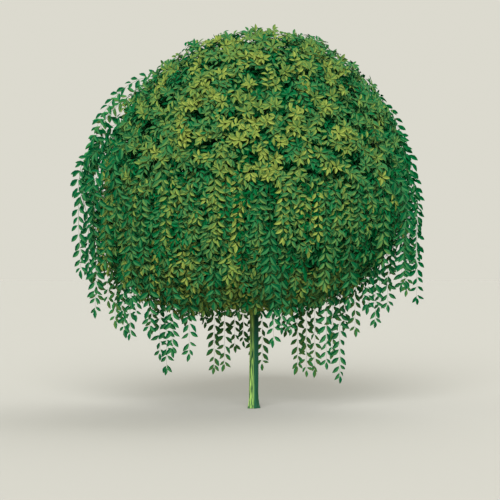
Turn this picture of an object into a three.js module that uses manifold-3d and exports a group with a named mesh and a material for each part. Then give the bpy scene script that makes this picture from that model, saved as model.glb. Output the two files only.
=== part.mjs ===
/**
 * Weeping goat willow grafted on a straight stem, as an assembly of trunk, boughs and foliage masses.
 *
 * Millimetres, +Z up. The origin is the middle of the flat cut under the trunk, at ground level.
 * The crown is a hollow umbrella: a domed shell of foliage masses stands round an open space, six boughs
 * cross that space from the graft head to the shell, and tassels of hanging shoots fringe its lower side.
 */
import * as THREE from "three";
import { mergeVertices } from "three/addons/utils/BufferGeometryUtils.js";
import Module from "manifold-3d";

const wasm = await Module();
wasm.setup();

const { degToRad, lerp, mapLinear, seededRandom, smoothstep } = THREE.MathUtils;
const TURN = 2 * Math.PI;
const GOLDEN_ANGLE = Math.PI * (3 - Math.sqrt(5));

// ------------------------------------------------------------------------------------------------------
// Driving sizes
// ------------------------------------------------------------------------------------------------------

/** Air between neighbouring solids. */
const GAP = 0.3;

const TRUNK = {
  height: 1560,
  ringHeights: [0, 16, 42, 84, 150, 280, 520, 800, 1080, 1320, 1420, 1465, 1500, 1530, 1550],
  shaftRadius: 34.5,
  taper: 0.1,
  flare: 12.5,
  flareHeight: 42,
  rootLobes: 5,
  lobeDepth: 0.1,
  headHeight: 1500,
  headSwell: 17,
  headLength: 42,
  headCurl: 62,
  sway: 5,
  swayWaves: 0.65,
  sides: 16,
};

/** Every other bough is steep. Tilts are counted from straight up, in degrees, at the crown's heart. */
const BOUGH = {
  count: 6,
  startAngle: 0.35,
  angleJitter: 0.12,
  steepTilt: [30, 36],
  flatTilt: [56, 64],
  baseRadius: 19,
  tipRadius: 10,
  springHeight: [1474, 1502],
  springRadius: 34,
  enters: 40,
  lift: 60,
  sides: 8,
  steps: 7,
};

const CROWN = {
  heart: new THREE.Vector3(-30, 0, 1600),
  radius: 1262,
  rise: 1248,
  riseRoundness: 1.82,
  drop: 950,
  dropRoundness: 2,
  innerShare: 0.74,
  innerSwell: 34,
  swell: [44, 84],
  sag: 1.3,
  lump: 24,
  wave: 13,
  gridSteps: 48,
};

/** The shell's rings from the top down: how many degrees from straight up each ends, and its masses. */
const RINGS = [
  { name: "dome_mass", to: 56, masses: 5, rows: 5, color: 0x6c9a3e },
  { name: "shoulder_mass", to: 86, masses: 7, rows: 5, color: 0x558a3a },
  { name: "side_mass", to: 116, masses: 8, rows: 5, color: 0x437c38 },
  { name: "under_mass", to: 146, masses: 8, rows: 5, color: 0x366c34 },
];
const CAP = { to: 26, rows: 3, swell: 46, innerSwell: 118, dimple: 16, color: 0x83ab48 };
const EDGE_WAVE = degToRad(2.6);
const EDGE_LEAN = degToRad(5);

const TASSEL = {
  count: 24,
  hub: 0.2,
  innerReach: 640,
  outerReach: 1365,
  innerTip: 247,
  tipSlope: 1.045,
  tipJitter: 80,
  radius: 62,
  neck: 0.62,
  rootRise: 170,
  rootInset: 26,
  flankTop: 1440,
  startAngle: 0.81,
  seed: 151,
  sides: 6,
  steps: 6,
  color: 0x2f7240,
};

const SHAPE_SEED = 20;
const BARK = { color: 0x5f7548, roughness: 0.85, metalness: 0 };
const LEAF = { roughness: 0.6, metalness: 0 };

// ------------------------------------------------------------------------------------------------------
// Solids from rings and grids of points
// ------------------------------------------------------------------------------------------------------

/** A random number from low to high, from the one seeded series. */
const between = (low, high) => lerp(low, high, seededRandom());

const geometryOf = (points, triangles) => {
  const geometry = new THREE.BufferGeometry();
  geometry.setAttribute("position", new THREE.Float32BufferAttribute(points.flatMap((p) => p.toArray()), 3));
  geometry.setIndex(triangles.flat());
  geometry.computeVertexNormals();
  return geometry;
};

/** A closed solid through rings of points, anticlockwise as seen from its end, with a fan on each end. */
const loft = (rings, start, end) => {
  const sides = rings[0].length;
  const points = [...rings.flat(), start, end];
  const [startAt, endAt] = [points.length - 2, points.length - 1];
  const lastRing = (rings.length - 1) * sides;
  const triangles = [];
  for (let j = 0; j < sides; j++) {
    const next = (j + 1) % sides;
    triangles.push([startAt, next, j], [endAt, lastRing + j, lastRing + next]);
    for (let row = 0; row < lastRing; row += sides) {
      const above = row + sides;
      triangles.push([row + j, row + next, above + next], [row + j, above + next, above + j]);
    }
  }
  return geometryOf(points, triangles);
};

/** A limb along a curve; radiusAt takes the share of its length and the angle round it. */
const limb = (curve, steps, sides, radiusAt) => {
  const frames = curve.computeFrenetFrames(steps, false);
  const rings = frames.normals.map((normal, i) => {
    const share = i / steps;
    const centre = curve.getPointAt(share);
    return Array.from({ length: sides }, (_, j) => {
      const angle = (j / sides) * TURN;
      const radius = radiusAt(share, angle);
      return centre
        .clone()
        .addScaledVector(normal, radius * Math.cos(angle))
        .addScaledVector(frames.binormals[i], radius * Math.sin(angle));
    });
  });
  return loft(rings, curve.getPointAt(0), curve.getPointAt(1));
};

/** A solid between an outer and an inner grid of points, [row][column], with walls round its edge. */
const shell = (outer, inner) => {
  const [rows, columns] = [outer.length, outer[0].length];
  const [bottom, right] = [rows - 1, columns - 1];
  const points = [...outer.flat(), ...inner.flat()];
  const at = (layer, row, column) => (layer * rows + row) * columns + column;
  const triangles = [];
  const quad = (a, b, c, d) => triangles.push([a, b, c], [a, c, d]);
  for (let i = 0; i < bottom; i++) {
    for (let j = 0; j < right; j++) {
      quad(at(0, i, j), at(0, i + 1, j), at(0, i + 1, j + 1), at(0, i, j + 1));
      quad(at(1, i, j), at(1, i, j + 1), at(1, i + 1, j + 1), at(1, i + 1, j));
    }
  }
  for (let j = 0; j < right; j++) {
    quad(at(0, 0, j + 1), at(1, 0, j + 1), at(1, 0, j), at(0, 0, j));
    quad(at(1, bottom, j), at(1, bottom, j + 1), at(0, bottom, j + 1), at(0, bottom, j));
  }
  for (let i = 0; i < bottom; i++) {
    quad(at(0, i, 0), at(1, i, 0), at(1, i + 1, 0), at(0, i + 1, 0));
    quad(at(0, i, right), at(0, i + 1, right), at(1, i + 1, right), at(1, i, right));
  }
  return geometryOf(points, triangles);
};

const solidOf = (geometry) => {
  const bare = geometry.clone();
  bare.deleteAttribute("normal");
  const merged = mergeVertices(bare, 1e-4);
  return new wasm.Manifold(
    new wasm.Mesh({
      numProp: 3,
      vertProperties: Float32Array.from(merged.attributes.position.array),
      triVerts: Uint32Array.from(merged.index.array),
    }),
  );
};

/** The geometry with the tools taken out of it; only its largest piece is kept. */
const cutBy = (geometry, tools) => {
  const pieces = wasm.Manifold.difference([solidOf(geometry), ...tools]).decompose();
  const largest = pieces.reduce((a, b) => (a.volume() > b.volume() ? a : b));
  const mesh = largest.getMesh();
  const cut = new THREE.BufferGeometry();
  cut.setAttribute("position", new THREE.BufferAttribute(Float32Array.from(mesh.vertProperties), 3));
  cut.setIndex(Array.from(mesh.triVerts));
  cut.computeVertexNormals();
  return cut;
};

const willow = new THREE.Group();

const add = (name, geometry, material) => {
  const mesh = new THREE.Mesh(geometry, new THREE.MeshStandardMaterial(material));
  mesh.name = name;
  willow.add(mesh);
};

const numbered = (name, index) => `${name}_${String(index + 1).padStart(2, "0")}`;

/** The level direction away from the trunk at an angle round it. */
const outwardsAt = (turn) => new THREE.Vector3(Math.cos(turn), Math.sin(turn), 0);

// ------------------------------------------------------------------------------------------------------
// Trunk: flat cut at the ground, root flare, straight tapering shaft, swollen graft head
// ------------------------------------------------------------------------------------------------------

/** How far the shaft's middle stands to the side of its foot at a height. */
const swayAt = (z) => TRUNK.sway * Math.sin((TRUNK.swayWaves * TURN * z) / TRUNK.height);

/** The trunk's mean radius at a height: shaft, root flare and graft head, closing in a dome at the top. */
const trunkRadiusAt = (z) => {
  const shaft = TRUNK.shaftRadius * (1 - (TRUNK.taper * z) / TRUNK.height);
  const flare = TRUNK.flare * Math.exp(-z / TRUNK.flareHeight);
  const head = TRUNK.headSwell * Math.exp(-(((z - TRUNK.headHeight) / TRUNK.headLength) ** 2));
  const curl = Math.max(0, (z - TRUNK.headHeight) / TRUNK.headCurl);
  return (shaft + flare + head) * Math.sqrt(1 - curl ** 2);
};

/** The trunk grown outwards by a clearance, which is none for the trunk itself. */
const trunkGeometry = (clearance) => {
  const rings = TRUNK.ringHeights.map((z) => {
    const lobes = TRUNK.lobeDepth * Math.exp(-z / (1.5 * TRUNK.flareHeight));
    return Array.from({ length: TRUNK.sides }, (_, j) => {
      const angle = (j / TRUNK.sides) * TURN;
      const buttress = 1 + lobes * Math.cos(TRUNK.rootLobes * angle);
      const radius = trunkRadiusAt(z) * buttress + clearance;
      return outwardsAt(angle).multiplyScalar(radius).add(new THREE.Vector3(swayAt(z), 0, z));
    });
  });
  const top = new THREE.Vector3(swayAt(TRUNK.height), 0, TRUNK.height + clearance);
  return loft(rings, new THREE.Vector3(0, 0, 0), top);
};

add("trunk", trunkGeometry(0), BARK);

// ------------------------------------------------------------------------------------------------------
// Crown: a shell of masses on one shared net of angles, so that neighbours keep an even gap
// ------------------------------------------------------------------------------------------------------

/** Distance from the crown's heart to its even outline, at an angle from straight up. */
const outlineAt = (tilt) => {
  const upper = tilt < Math.PI / 2;
  const reach = upper ? CROWN.rise : CROWN.drop;
  const power = upper ? CROWN.riseRoundness : CROWN.dropRoundness;
  const across = Math.sin(tilt) / CROWN.radius;
  const along = Math.abs(Math.cos(tilt)) / reach;
  return (across ** power + along ** power) ** (-1 / power);
};

/** Slow waves of the whole crown's surface, which neighbours share. */
const waveAt = (tilt, turn) => {
  const broad = Math.sin(3 * turn + 1.1) * Math.sin(2 * tilt + 0.4);
  const slanting = 0.7 * Math.sin(5 * turn - 3 * tilt);
  return CROWN.wave * (broad + slanting - 0.3);
};

const crownPoint = (tilt, turn, distance) =>
  outwardsAt(turn)
    .multiplyScalar(Math.sin(tilt))
    .setZ(Math.cos(tilt))
    .multiplyScalar(distance)
    .add(CROWN.heart);

/** The wavy edge number edge, from 0 under the cap, as an angle from straight up; the last is ragged. */
const edgeTilt = (edge, turn) => {
  const level = degToRad(edge === 0 ? CAP.to : RINGS[edge - 1].to);
  const broad = Math.sin((3 + edge) * turn + 1.7 * edge);
  const fine = 0.5 * Math.sin(9 * turn + edge);
  const ragged = edge === RINGS.length ? 0.8 * Math.sin(12 * turn + 2) : 0;
  return level + EDGE_WAVE * (broad + fine + ragged);
};

/** Grid columns of a ring's masses: shared out evenly, then every other mass takes one from the next. */
const columnsOf = (ring, ringIndex) => {
  const startOf = (k) => Math.round((k * CROWN.gridSteps) / ring.masses);
  let start = 2 * ringIndex;
  return Array.from({ length: ring.masses }, (_, k) => {
    const paired = k % 2 === 1 || k + 1 < ring.masses;
    const change = paired ? (k % 2 === 0 ? 1 : -1) : 0;
    const column = { start, width: startOf(k + 1) - startOf(k) + change };
    start += column.width;
    return column;
  });
};

/** Height of the arc that a number of grid columns spans on the shell's inner side. */
const arcHeight = (columns) =>
  CROWN.radius * CROWN.innerShare * (1 - Math.cos((columns / CROWN.gridSteps) * Math.PI));

/**
 * What makes each mass its own shape: its swell, the lean of its two sides and the lumps on its faces. It
 * swells inwards by the height of the arc that it spans, so that its inner face is about flat.
 */
const massPlan = (ring, ringIndex, k, { start, width }, leans) => ({
  name: numbered(ring.name, k),
  edge: ringIndex,
  start,
  width,
  rows: ring.rows,
  color: ring.color,
  leans,
  swell: between(...CROWN.swell),
  innerSwell: CROWN.innerSwell + arcHeight(width),
  lumps: Array.from({ length: 2 * (ring.rows + 1) * (width + 1) }, () => between(-1, 1)),
});

/**
 * A mass of a ring. sideways moves its four walls out, and parts it from its neighbours if it is negative;
 * skin moves its outer and inner faces out.
 */
const massGeometry = (plan, sideways, skin) => {
  const pointAt = (layer, i, j) => {
    const [down, across] = [i / plan.rows, j / plan.width];
    const straight = ((plan.start + j) / CROWN.gridSteps) * TURN;
    const tilt = lerp(edgeTilt(plan.edge, straight), edgeTilt(plan.edge + 1, straight), down);
    const turn = straight + lerp(...plan.leans, across) * Math.sin(Math.PI * down);
    const inside = Math.sqrt(Math.sin(Math.PI * down ** CROWN.sag) * Math.sin(Math.PI * across));
    const lump = CROWN.lump * inside * plan.lumps[(layer * (plan.rows + 1) + i) * (plan.width + 1) + j];
    const even = outlineAt(tilt) + waveAt(tilt, turn);
    const outer = even + plan.swell * inside + lump + skin;
    const inner = even * CROWN.innerShare - plan.innerSwell * inside + lump / 2 - skin;
    const right = outwardsAt(turn + Math.PI / 2).multiplyScalar((j === plan.width) - (j === 0));
    const below = outwardsAt(turn)
      .multiplyScalar(Math.cos(tilt))
      .setZ(-Math.sin(tilt))
      .multiplyScalar((i === plan.rows) - (i === 0));
    return crownPoint(tilt, turn, layer === 0 ? outer : inner).addScaledVector(right.add(below), sideways);
  };
  const [outer, inner] = [0, 1].map((layer) =>
    Array.from({ length: plan.rows + 1 }, (_, i) =>
      Array.from({ length: plan.width + 1 }, (_, j) => pointAt(layer, i, j)),
    ),
  );
  return shell(outer, inner);
};

/** The rounded cap over the top of the crown, nearly flat underneath. */
const capGeometry = (sideways, skin) => {
  const pointAt = (layer, i, j) => {
    const turn = (j / CROWN.gridSteps) * TURN;
    const down = (i + 1) / CAP.rows;
    const tilt = edgeTilt(0, turn) * down;
    const rounding = Math.cos((Math.PI / 2) * smoothstep(down, 0, 1));
    const dimple = CAP.dimple * Math.sin(5 * turn + 3 * i) * Math.sin(Math.PI * down);
    const even = outlineAt(tilt) + waveAt(tilt, turn) * down;
    const outer = even + CAP.swell * rounding + dimple + skin;
    const inner = even * CROWN.innerShare - CAP.innerSwell * rounding - skin;
    const right = outwardsAt(turn).multiplyScalar(i === CAP.rows - 1 ? sideways : 0);
    return crownPoint(tilt, turn, layer === 0 ? outer : inner).add(right);
  };
  const [outer, inner] = [0, 1].map((layer) =>
    Array.from({ length: CAP.rows }, (_, i) =>
      Array.from({ length: CROWN.gridSteps }, (_, j) => pointAt(layer, i, j)),
    ),
  );
  const lowPole = crownPoint(0, 0, CROWN.rise * CROWN.innerShare - CAP.innerSwell - skin);
  const highPole = crownPoint(0, 0, CROWN.rise + CAP.swell + skin);
  return loft([...inner, ...outer.toReversed()], lowPole, highPole);
};

seededRandom(SHAPE_SEED);

const plans = RINGS.flatMap((ring, ringIndex) => {
  const columns = columnsOf(ring, ringIndex);
  const leans = columns.map(() => between(-EDGE_LEAN, EDGE_LEAN));
  return columns.map((column, k) =>
    massPlan(ring, ringIndex, k, column, [leans[k], leans[(k + 1) % leans.length]]),
  );
});

/** Walls lean against the net's directions, so each stands back by a little more than half the gap. */
const standBack = -0.65 * GAP;
add("crown_top", capGeometry(standBack, 0), { ...LEAF, color: CAP.color });
for (const plan of plans) {
  add(plan.name, massGeometry(plan, standBack, 0), { ...LEAF, color: plan.color });
}

/** Every mass grown by the gap, to cut what meets the shell. */
const grownMasses = [
  solidOf(capGeometry(GAP, GAP)),
  ...plans.map((plan) => solidOf(massGeometry(plan, GAP, GAP))),
];

// ------------------------------------------------------------------------------------------------------
// Boughs: tapering arcs from the graft head, each ending where it enters the shell
// ------------------------------------------------------------------------------------------------------

/** From the head out to the shell: it rises early and reaches the shell while still climbing a little. */
const boughCurve = (turn, tilt, springHeight) => {
  const outwards = outwardsAt(turn);
  const spring = outwards.clone().multiplyScalar(BOUGH.springRadius).setZ(springHeight);
  const end = crownPoint(tilt, turn, outlineAt(tilt) * CROWN.innerShare + BOUGH.enters);
  const span = end.clone().sub(spring);
  const level = Math.hypot(span.x, span.y);
  const early = spring.clone().addScaledVector(outwards, 0.3 * level);
  early.z += 0.42 * span.z + BOUGH.lift;
  const late = end.clone().addScaledVector(outwards, -0.34 * level);
  late.z -= 0.16 * span.z;
  return new THREE.CubicBezierCurve3(spring, early, late, end);
};

const boughRadiusAt = (share) => lerp(BOUGH.baseRadius, BOUGH.tipRadius, share ** 0.8);
const grownTrunk = solidOf(trunkGeometry(GAP));

for (let k = 0; k < BOUGH.count; k++) {
  const jitter = between(-BOUGH.angleJitter, BOUGH.angleJitter);
  const turn = BOUGH.startAngle + ((k + jitter) / BOUGH.count) * TURN;
  const tilt = degToRad(between(...(k % 2 === 0 ? BOUGH.steepTilt : BOUGH.flatTilt)));
  const curve = boughCurve(turn, tilt, between(...BOUGH.springHeight));
  const geometry = limb(curve, BOUGH.steps, BOUGH.sides, boughRadiusAt);
  add(numbered("bough", k), cutBy(geometry, [grownTrunk, ...grownMasses]), BARK);
}

// ------------------------------------------------------------------------------------------------------
// Tassels: hanging shoots in a spiral round the trunk, longest near it, cut where they meet the shell
// ------------------------------------------------------------------------------------------------------

/** Height of the crown's even underside at a distance from its middle. */
const undersideAt = (reach) =>
  CROWN.heart.z - CROWN.drop * Math.sqrt(1 - Math.min(1, reach / CROWN.radius) ** 2);

/** A tassel's leafy outline: narrow at its root, fullest below the middle, closing to a blunt tip. */
const tasselRadiusAt = (phase) => (share, angle) => {
  const body = Math.min(1, TASSEL.neck + 1.1 * share) * Math.sqrt(1.02 - share ** 3);
  const flat = 0.16 * Math.sin(2 * angle + 9 * share + phase);
  const tufts = 0.08 * Math.sin(3 * angle - 14 * share);
  return TASSEL.radius * body * (1 + flat + tufts);
};

seededRandom(TASSEL.seed);

for (let k = 0; k < TASSEL.count; k++) {
  const spread = mapLinear(k + 0.5, 0, TASSEL.count, TASSEL.hub, 1);
  const hub = Math.sqrt(TASSEL.hub);
  const reach = mapLinear(Math.sqrt(spread), hub, 1, TASSEL.innerReach, TASSEL.outerReach);
  const outwards = outwardsAt(TASSEL.startAngle + k * GOLDEN_ANGLE);
  const evenTip = TASSEL.innerTip + TASSEL.tipSlope * (reach - TASSEL.innerReach);
  const tip = evenTip + between(-1, 1) * TASSEL.tipJitter;
  const top = Math.min(TASSEL.flankTop, undersideAt(reach) + TASSEL.rootRise);
  const foot = outwards.clone().multiplyScalar(reach).add(CROWN.heart).setZ(tip);
  const root = foot.clone().addScaledVector(outwards, -TASSEL.rootInset).setZ(top);
  const middle = foot.clone().addScaledVector(outwards, between(-10, 14)).setZ((tip + top) / 2);
  const curve = new THREE.QuadraticBezierCurve3(root, middle, foot);
  const geometry = limb(curve, TASSEL.steps, TASSEL.sides, tasselRadiusAt(between(0, TURN)));
  add(numbered("tassel", k), cutBy(geometry, grownMasses), { ...LEAF, color: TASSEL.color });
}

export default willow;
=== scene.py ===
"""A weeping willow grafted on a straight stem: bark, branching, hanging shoots and leaves.

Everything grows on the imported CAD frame. The trunk and boughs are bark surfaces worked out as grids. The
crown is grown from the boughs by a seeded branching rule in three more orders of wood, which carry leafy
sprays over the dome and shoots that arch out and hang. Metres, +Z up, ground at zero.
"""

import logging
import math
from dataclasses import dataclass, field
from enum import Enum

import bpy
import numpy as np
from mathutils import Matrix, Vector


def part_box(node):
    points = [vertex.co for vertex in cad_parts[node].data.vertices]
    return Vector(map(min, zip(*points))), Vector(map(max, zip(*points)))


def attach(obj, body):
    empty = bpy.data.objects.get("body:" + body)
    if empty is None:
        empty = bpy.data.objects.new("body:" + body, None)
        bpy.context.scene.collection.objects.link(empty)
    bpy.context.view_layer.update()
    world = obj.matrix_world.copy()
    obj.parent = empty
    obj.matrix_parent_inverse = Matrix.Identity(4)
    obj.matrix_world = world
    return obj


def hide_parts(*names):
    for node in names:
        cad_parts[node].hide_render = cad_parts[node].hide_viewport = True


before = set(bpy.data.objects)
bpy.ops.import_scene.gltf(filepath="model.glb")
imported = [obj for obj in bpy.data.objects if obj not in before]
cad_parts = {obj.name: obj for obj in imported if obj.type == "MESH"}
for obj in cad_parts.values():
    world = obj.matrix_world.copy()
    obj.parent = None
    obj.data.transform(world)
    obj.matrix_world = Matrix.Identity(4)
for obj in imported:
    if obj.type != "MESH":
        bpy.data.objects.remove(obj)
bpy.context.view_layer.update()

Array = np.ndarray
Material = bpy.types.Material
Socket = bpy.types.NodeSocket
Span = tuple[float, float]
Triple = tuple[float, float, float]
TURN = 2 * math.pi
GOLDEN_ANGLE = math.pi * (3 - math.sqrt(5))
GOLDEN_SHARE = (math.sqrt(5) - 1) / 2
UP = np.array([0.0, 0.0, 1.0])
LEVEL = np.array([1.0, 1.0, 0.0])
RIGHT = np.array([1.0, 0.0, 0.0])
BACK = np.array([0.0, 1.0, 0.0])
ROOT = "root"
LOG = logging.getLogger("willow")


# Vectors, lines and meshes --------------------


def unit(vectors: Array) -> Array:
    """Vectors scaled to length one."""
    return vectors / np.maximum(np.linalg.norm(vectors, axis=-1, keepdims=True), 1e-9)


def across(vectors: Array, axis: Array) -> Array:
    """The unit part of each vector that stands square to its unit axis."""
    return unit(vectors - (vectors * axis).sum(-1, keepdims=True) * axis)


def outwards(turn: Array) -> Array:
    """Level unit vectors at angles round the trunk."""
    return np.stack([np.cos(turn), np.sin(turn), np.zeros_like(turn)], axis=-1)


def swung(start: Array, other: Array, angle: Array) -> Array:
    """Directions swung towards others, square to them, by angles in radians."""
    return start * np.cos(angle)[..., None] + other * np.sin(angle)[..., None]


def progress(values: Array, start: Array | float, over: float) -> Array:
    """How far values have come from a start over a distance, from nought to one."""
    return np.clip((values - start) / over, 0, 1)


def bezier(start: Array, early: Array, late: Array, end: Array, knots: int) -> Array:
    """Cubic curves through many sets of four control points, as (curves, knots, 3)."""
    t = np.linspace(0, 1, knots)[None, :, None]
    s = 1 - t
    a, b, c, d = (p[:, None] for p in (start, early, late, end))
    return s**3 * a + 3 * s**2 * t * b + 3 * s * t**2 * c + t**3 * d


@dataclass
class Lines:
    """Many polylines with the same number of knots, which can be read at any distance along them.

    Attributes:
        knots: Their points, (lines, knots, 3).
        walked: Distance along each line at each knot, (lines, knots).
    """

    knots: Array
    walked: Array = field(init=False)

    def __post_init__(self) -> None:
        """Adds up the steps from knot to knot."""
        steps = np.linalg.norm(np.diff(self.knots, axis=1), axis=-1)
        self.walked = np.concatenate([np.zeros((len(steps), 1)), np.cumsum(steps, axis=1)], axis=1)

    def at(self, distances: Array) -> Array:
        """Points at distances along the lines.

        Args:
            distances: (lines, m).

        Returns:
            Points between knots by straight proportion, (lines, m, 3).
        """
        passed = (self.walked[:, :, None] <= distances[:, None, :]).sum(1) - 1
        low = np.clip(passed, 0, self.knots.shape[1] - 2)
        row = np.arange(len(self.knots))[:, None]
        step = self.walked[row, low + 1] - self.walked[row, low]
        part = np.clip((distances - self.walked[row, low]) / np.maximum(step, 1e-9), 0, 1)[..., None]
        return self.knots[row, low] * (1 - part) + self.knots[row, low + 1] * part

    def heading(self, distances: Array, span: float = 0.012) -> Array:
        """Unit directions over a short span at distances along the lines, or down past their ends."""
        return unit(self.at(distances + span) - self.at(distances - span) - 1e-6 * UP)

    def down_to(self, height: Array) -> Array:
        """Distance at which each line first passes below its height, or its whole length, (lines,)."""
        below = self.knots[:, :, 2] < height[:, None]
        below[:, 0] = False
        first = np.where(below.any(1), below.argmax(1), self.knots.shape[1] - 1)
        row = np.arange(len(self.knots))
        before = np.maximum(first - 1, 0)
        high, low = self.knots[row, before, 2], self.knots[row, first, 2]
        part = np.clip((high - height) / np.maximum(high - low, 1e-6), 0, 1)
        part = np.where(below.any(1), part, 1)
        return self.walked[row, before] * (1 - part) + self.walked[row, first] * part


def make_piece(name: str, points: Array, faces: list[Array], smooth: bool) -> bpy.types.Object:
    """Puts arrays of points and faces into a new mesh object.

    Args:
        name: The piece's name.
        points: Its vertices, (..., 3), in the order of their numbers.
        faces: Arrays of vertex numbers, each (m, corners), one array for each number of corners.
        smooth: True to shade it smooth.

    Returns:
        The object, at the origin, linked to the scene.
    """
    mesh = bpy.data.meshes.new(name)
    loops = np.concatenate([f.ravel() for f in faces]).astype(np.int32)
    counts = np.concatenate([np.full(len(f), f.shape[1]) for f in faces])
    starts = np.concatenate([[0], np.cumsum(counts)[:-1]]).astype(np.int32)
    mesh.vertices.add(points.size // 3)
    mesh.vertices.foreach_set("co", np.asarray(points, np.float32).ravel())
    mesh.loops.add(len(loops))
    mesh.loops.foreach_set("vertex_index", loops)
    mesh.polygons.add(len(counts))
    mesh.polygons.foreach_set("loop_start", starts)
    mesh.polygons.foreach_set("use_smooth", np.full(len(counts), smooth))
    mesh.update(calc_edges=True)
    piece = bpy.data.objects.new(name, mesh)
    bpy.context.scene.collection.objects.link(piece)
    return piece


def dress(piece: bpy.types.Object, finish: Material, nodes: list[str]) -> None:
    """Gives a piece its finish and its body, and hides the CAD nodes that it stands for."""
    piece.data.materials.append(finish)
    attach(piece, ROOT)
    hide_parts(*nodes)
    LOG.info("%s: %d faces", piece.name, len(piece.data.polygons))


def tube_grids(paths: Array, radii: Array, sides: int) -> Array:
    """Rings of points round many paths at once.

    Each ring stands square to its path. Its first spoke is a fixed slanting direction made square to the
    path, so that neighbouring rings don't twist.

    Args:
        paths: Centre lines, (paths, rings, 3).
        radii: Radius at each ring, (paths, rings).
        sides: Points in each ring.

    Returns:
        The points, (paths, rings, sides, 3).
    """
    along = unit(np.gradient(paths, axis=1))
    slant = np.array([0.83, 0.41, 0.37])
    first = across(np.broadcast_to(slant, along.shape), along)
    second = np.cross(along, first)
    angle = np.arange(sides) / sides * TURN
    spokes = swung(first[:, :, None], second[:, :, None], angle)
    return paths[:, :, None] + radii[:, :, None, None] * spokes


def tube_faces(count: int, rings: int, sides: int) -> list[Array]:
    """Quads along many tubes, and a polygon over each of their two ends."""
    base = (np.arange(count) * rings * sides)[:, None, None]
    ring = (np.arange(rings - 1) * sides)[None, :, None]
    side = np.arange(sides)[None, None, :]
    after = (side + 1) % sides
    low, high = base + ring, base + ring + sides
    quads = np.stack([low + side, low + after, high + after, high + side], axis=-1).reshape(-1, 4)
    first = base[:, 0] + np.arange(sides)[::-1]
    last = base[:, 0] + (rings - 1) * sides + np.arange(sides)
    return [quads, np.concatenate([first, last])]


# Finishes --------------------


class Tint(Enum):
    """Leaf colours as linear red, green and blue: painted light and shade, from the sunlit top down to the
    crown's own shade, then a cool blue-green and a lighter green that is painted light at the back.
    """

    LIME = (0.158, 0.200, 0.039)
    FRESH = (0.112, 0.162, 0.031)
    SUMMER = (0.060, 0.128, 0.032)
    MIDDLE = (0.021, 0.103, 0.033)
    DEEP = (0.0018, 0.080, 0.024)
    SHADE = (0.0004, 0.054, 0.013)
    COOL = (0.0015, 0.062, 0.021)
    # Painted light: a lighter green for shoots at the back, which hang in the crown's shade.
    PAINTED_LIGHT_BACK = (0.0190, 0.142, 0.040)


@dataclass(frozen=True)
class PlainFinish:
    """A finish of one colour, for pieces of many small faces."""

    name: str
    colour: Triple
    roughness: float = 0.65
    specular: float = 0.01

    def material(self) -> Material:
        """The finish as a material."""
        material = bpy.data.materials.new(self.name)
        material.use_nodes = True
        shader = material.node_tree.nodes["Principled BSDF"]
        shader.inputs["Base Color"].default_value = (*self.colour, 1)
        shader.inputs["Roughness"].default_value = self.roughness
        shader.inputs["Specular IOR Level"].default_value = self.specular
        return material


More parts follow.
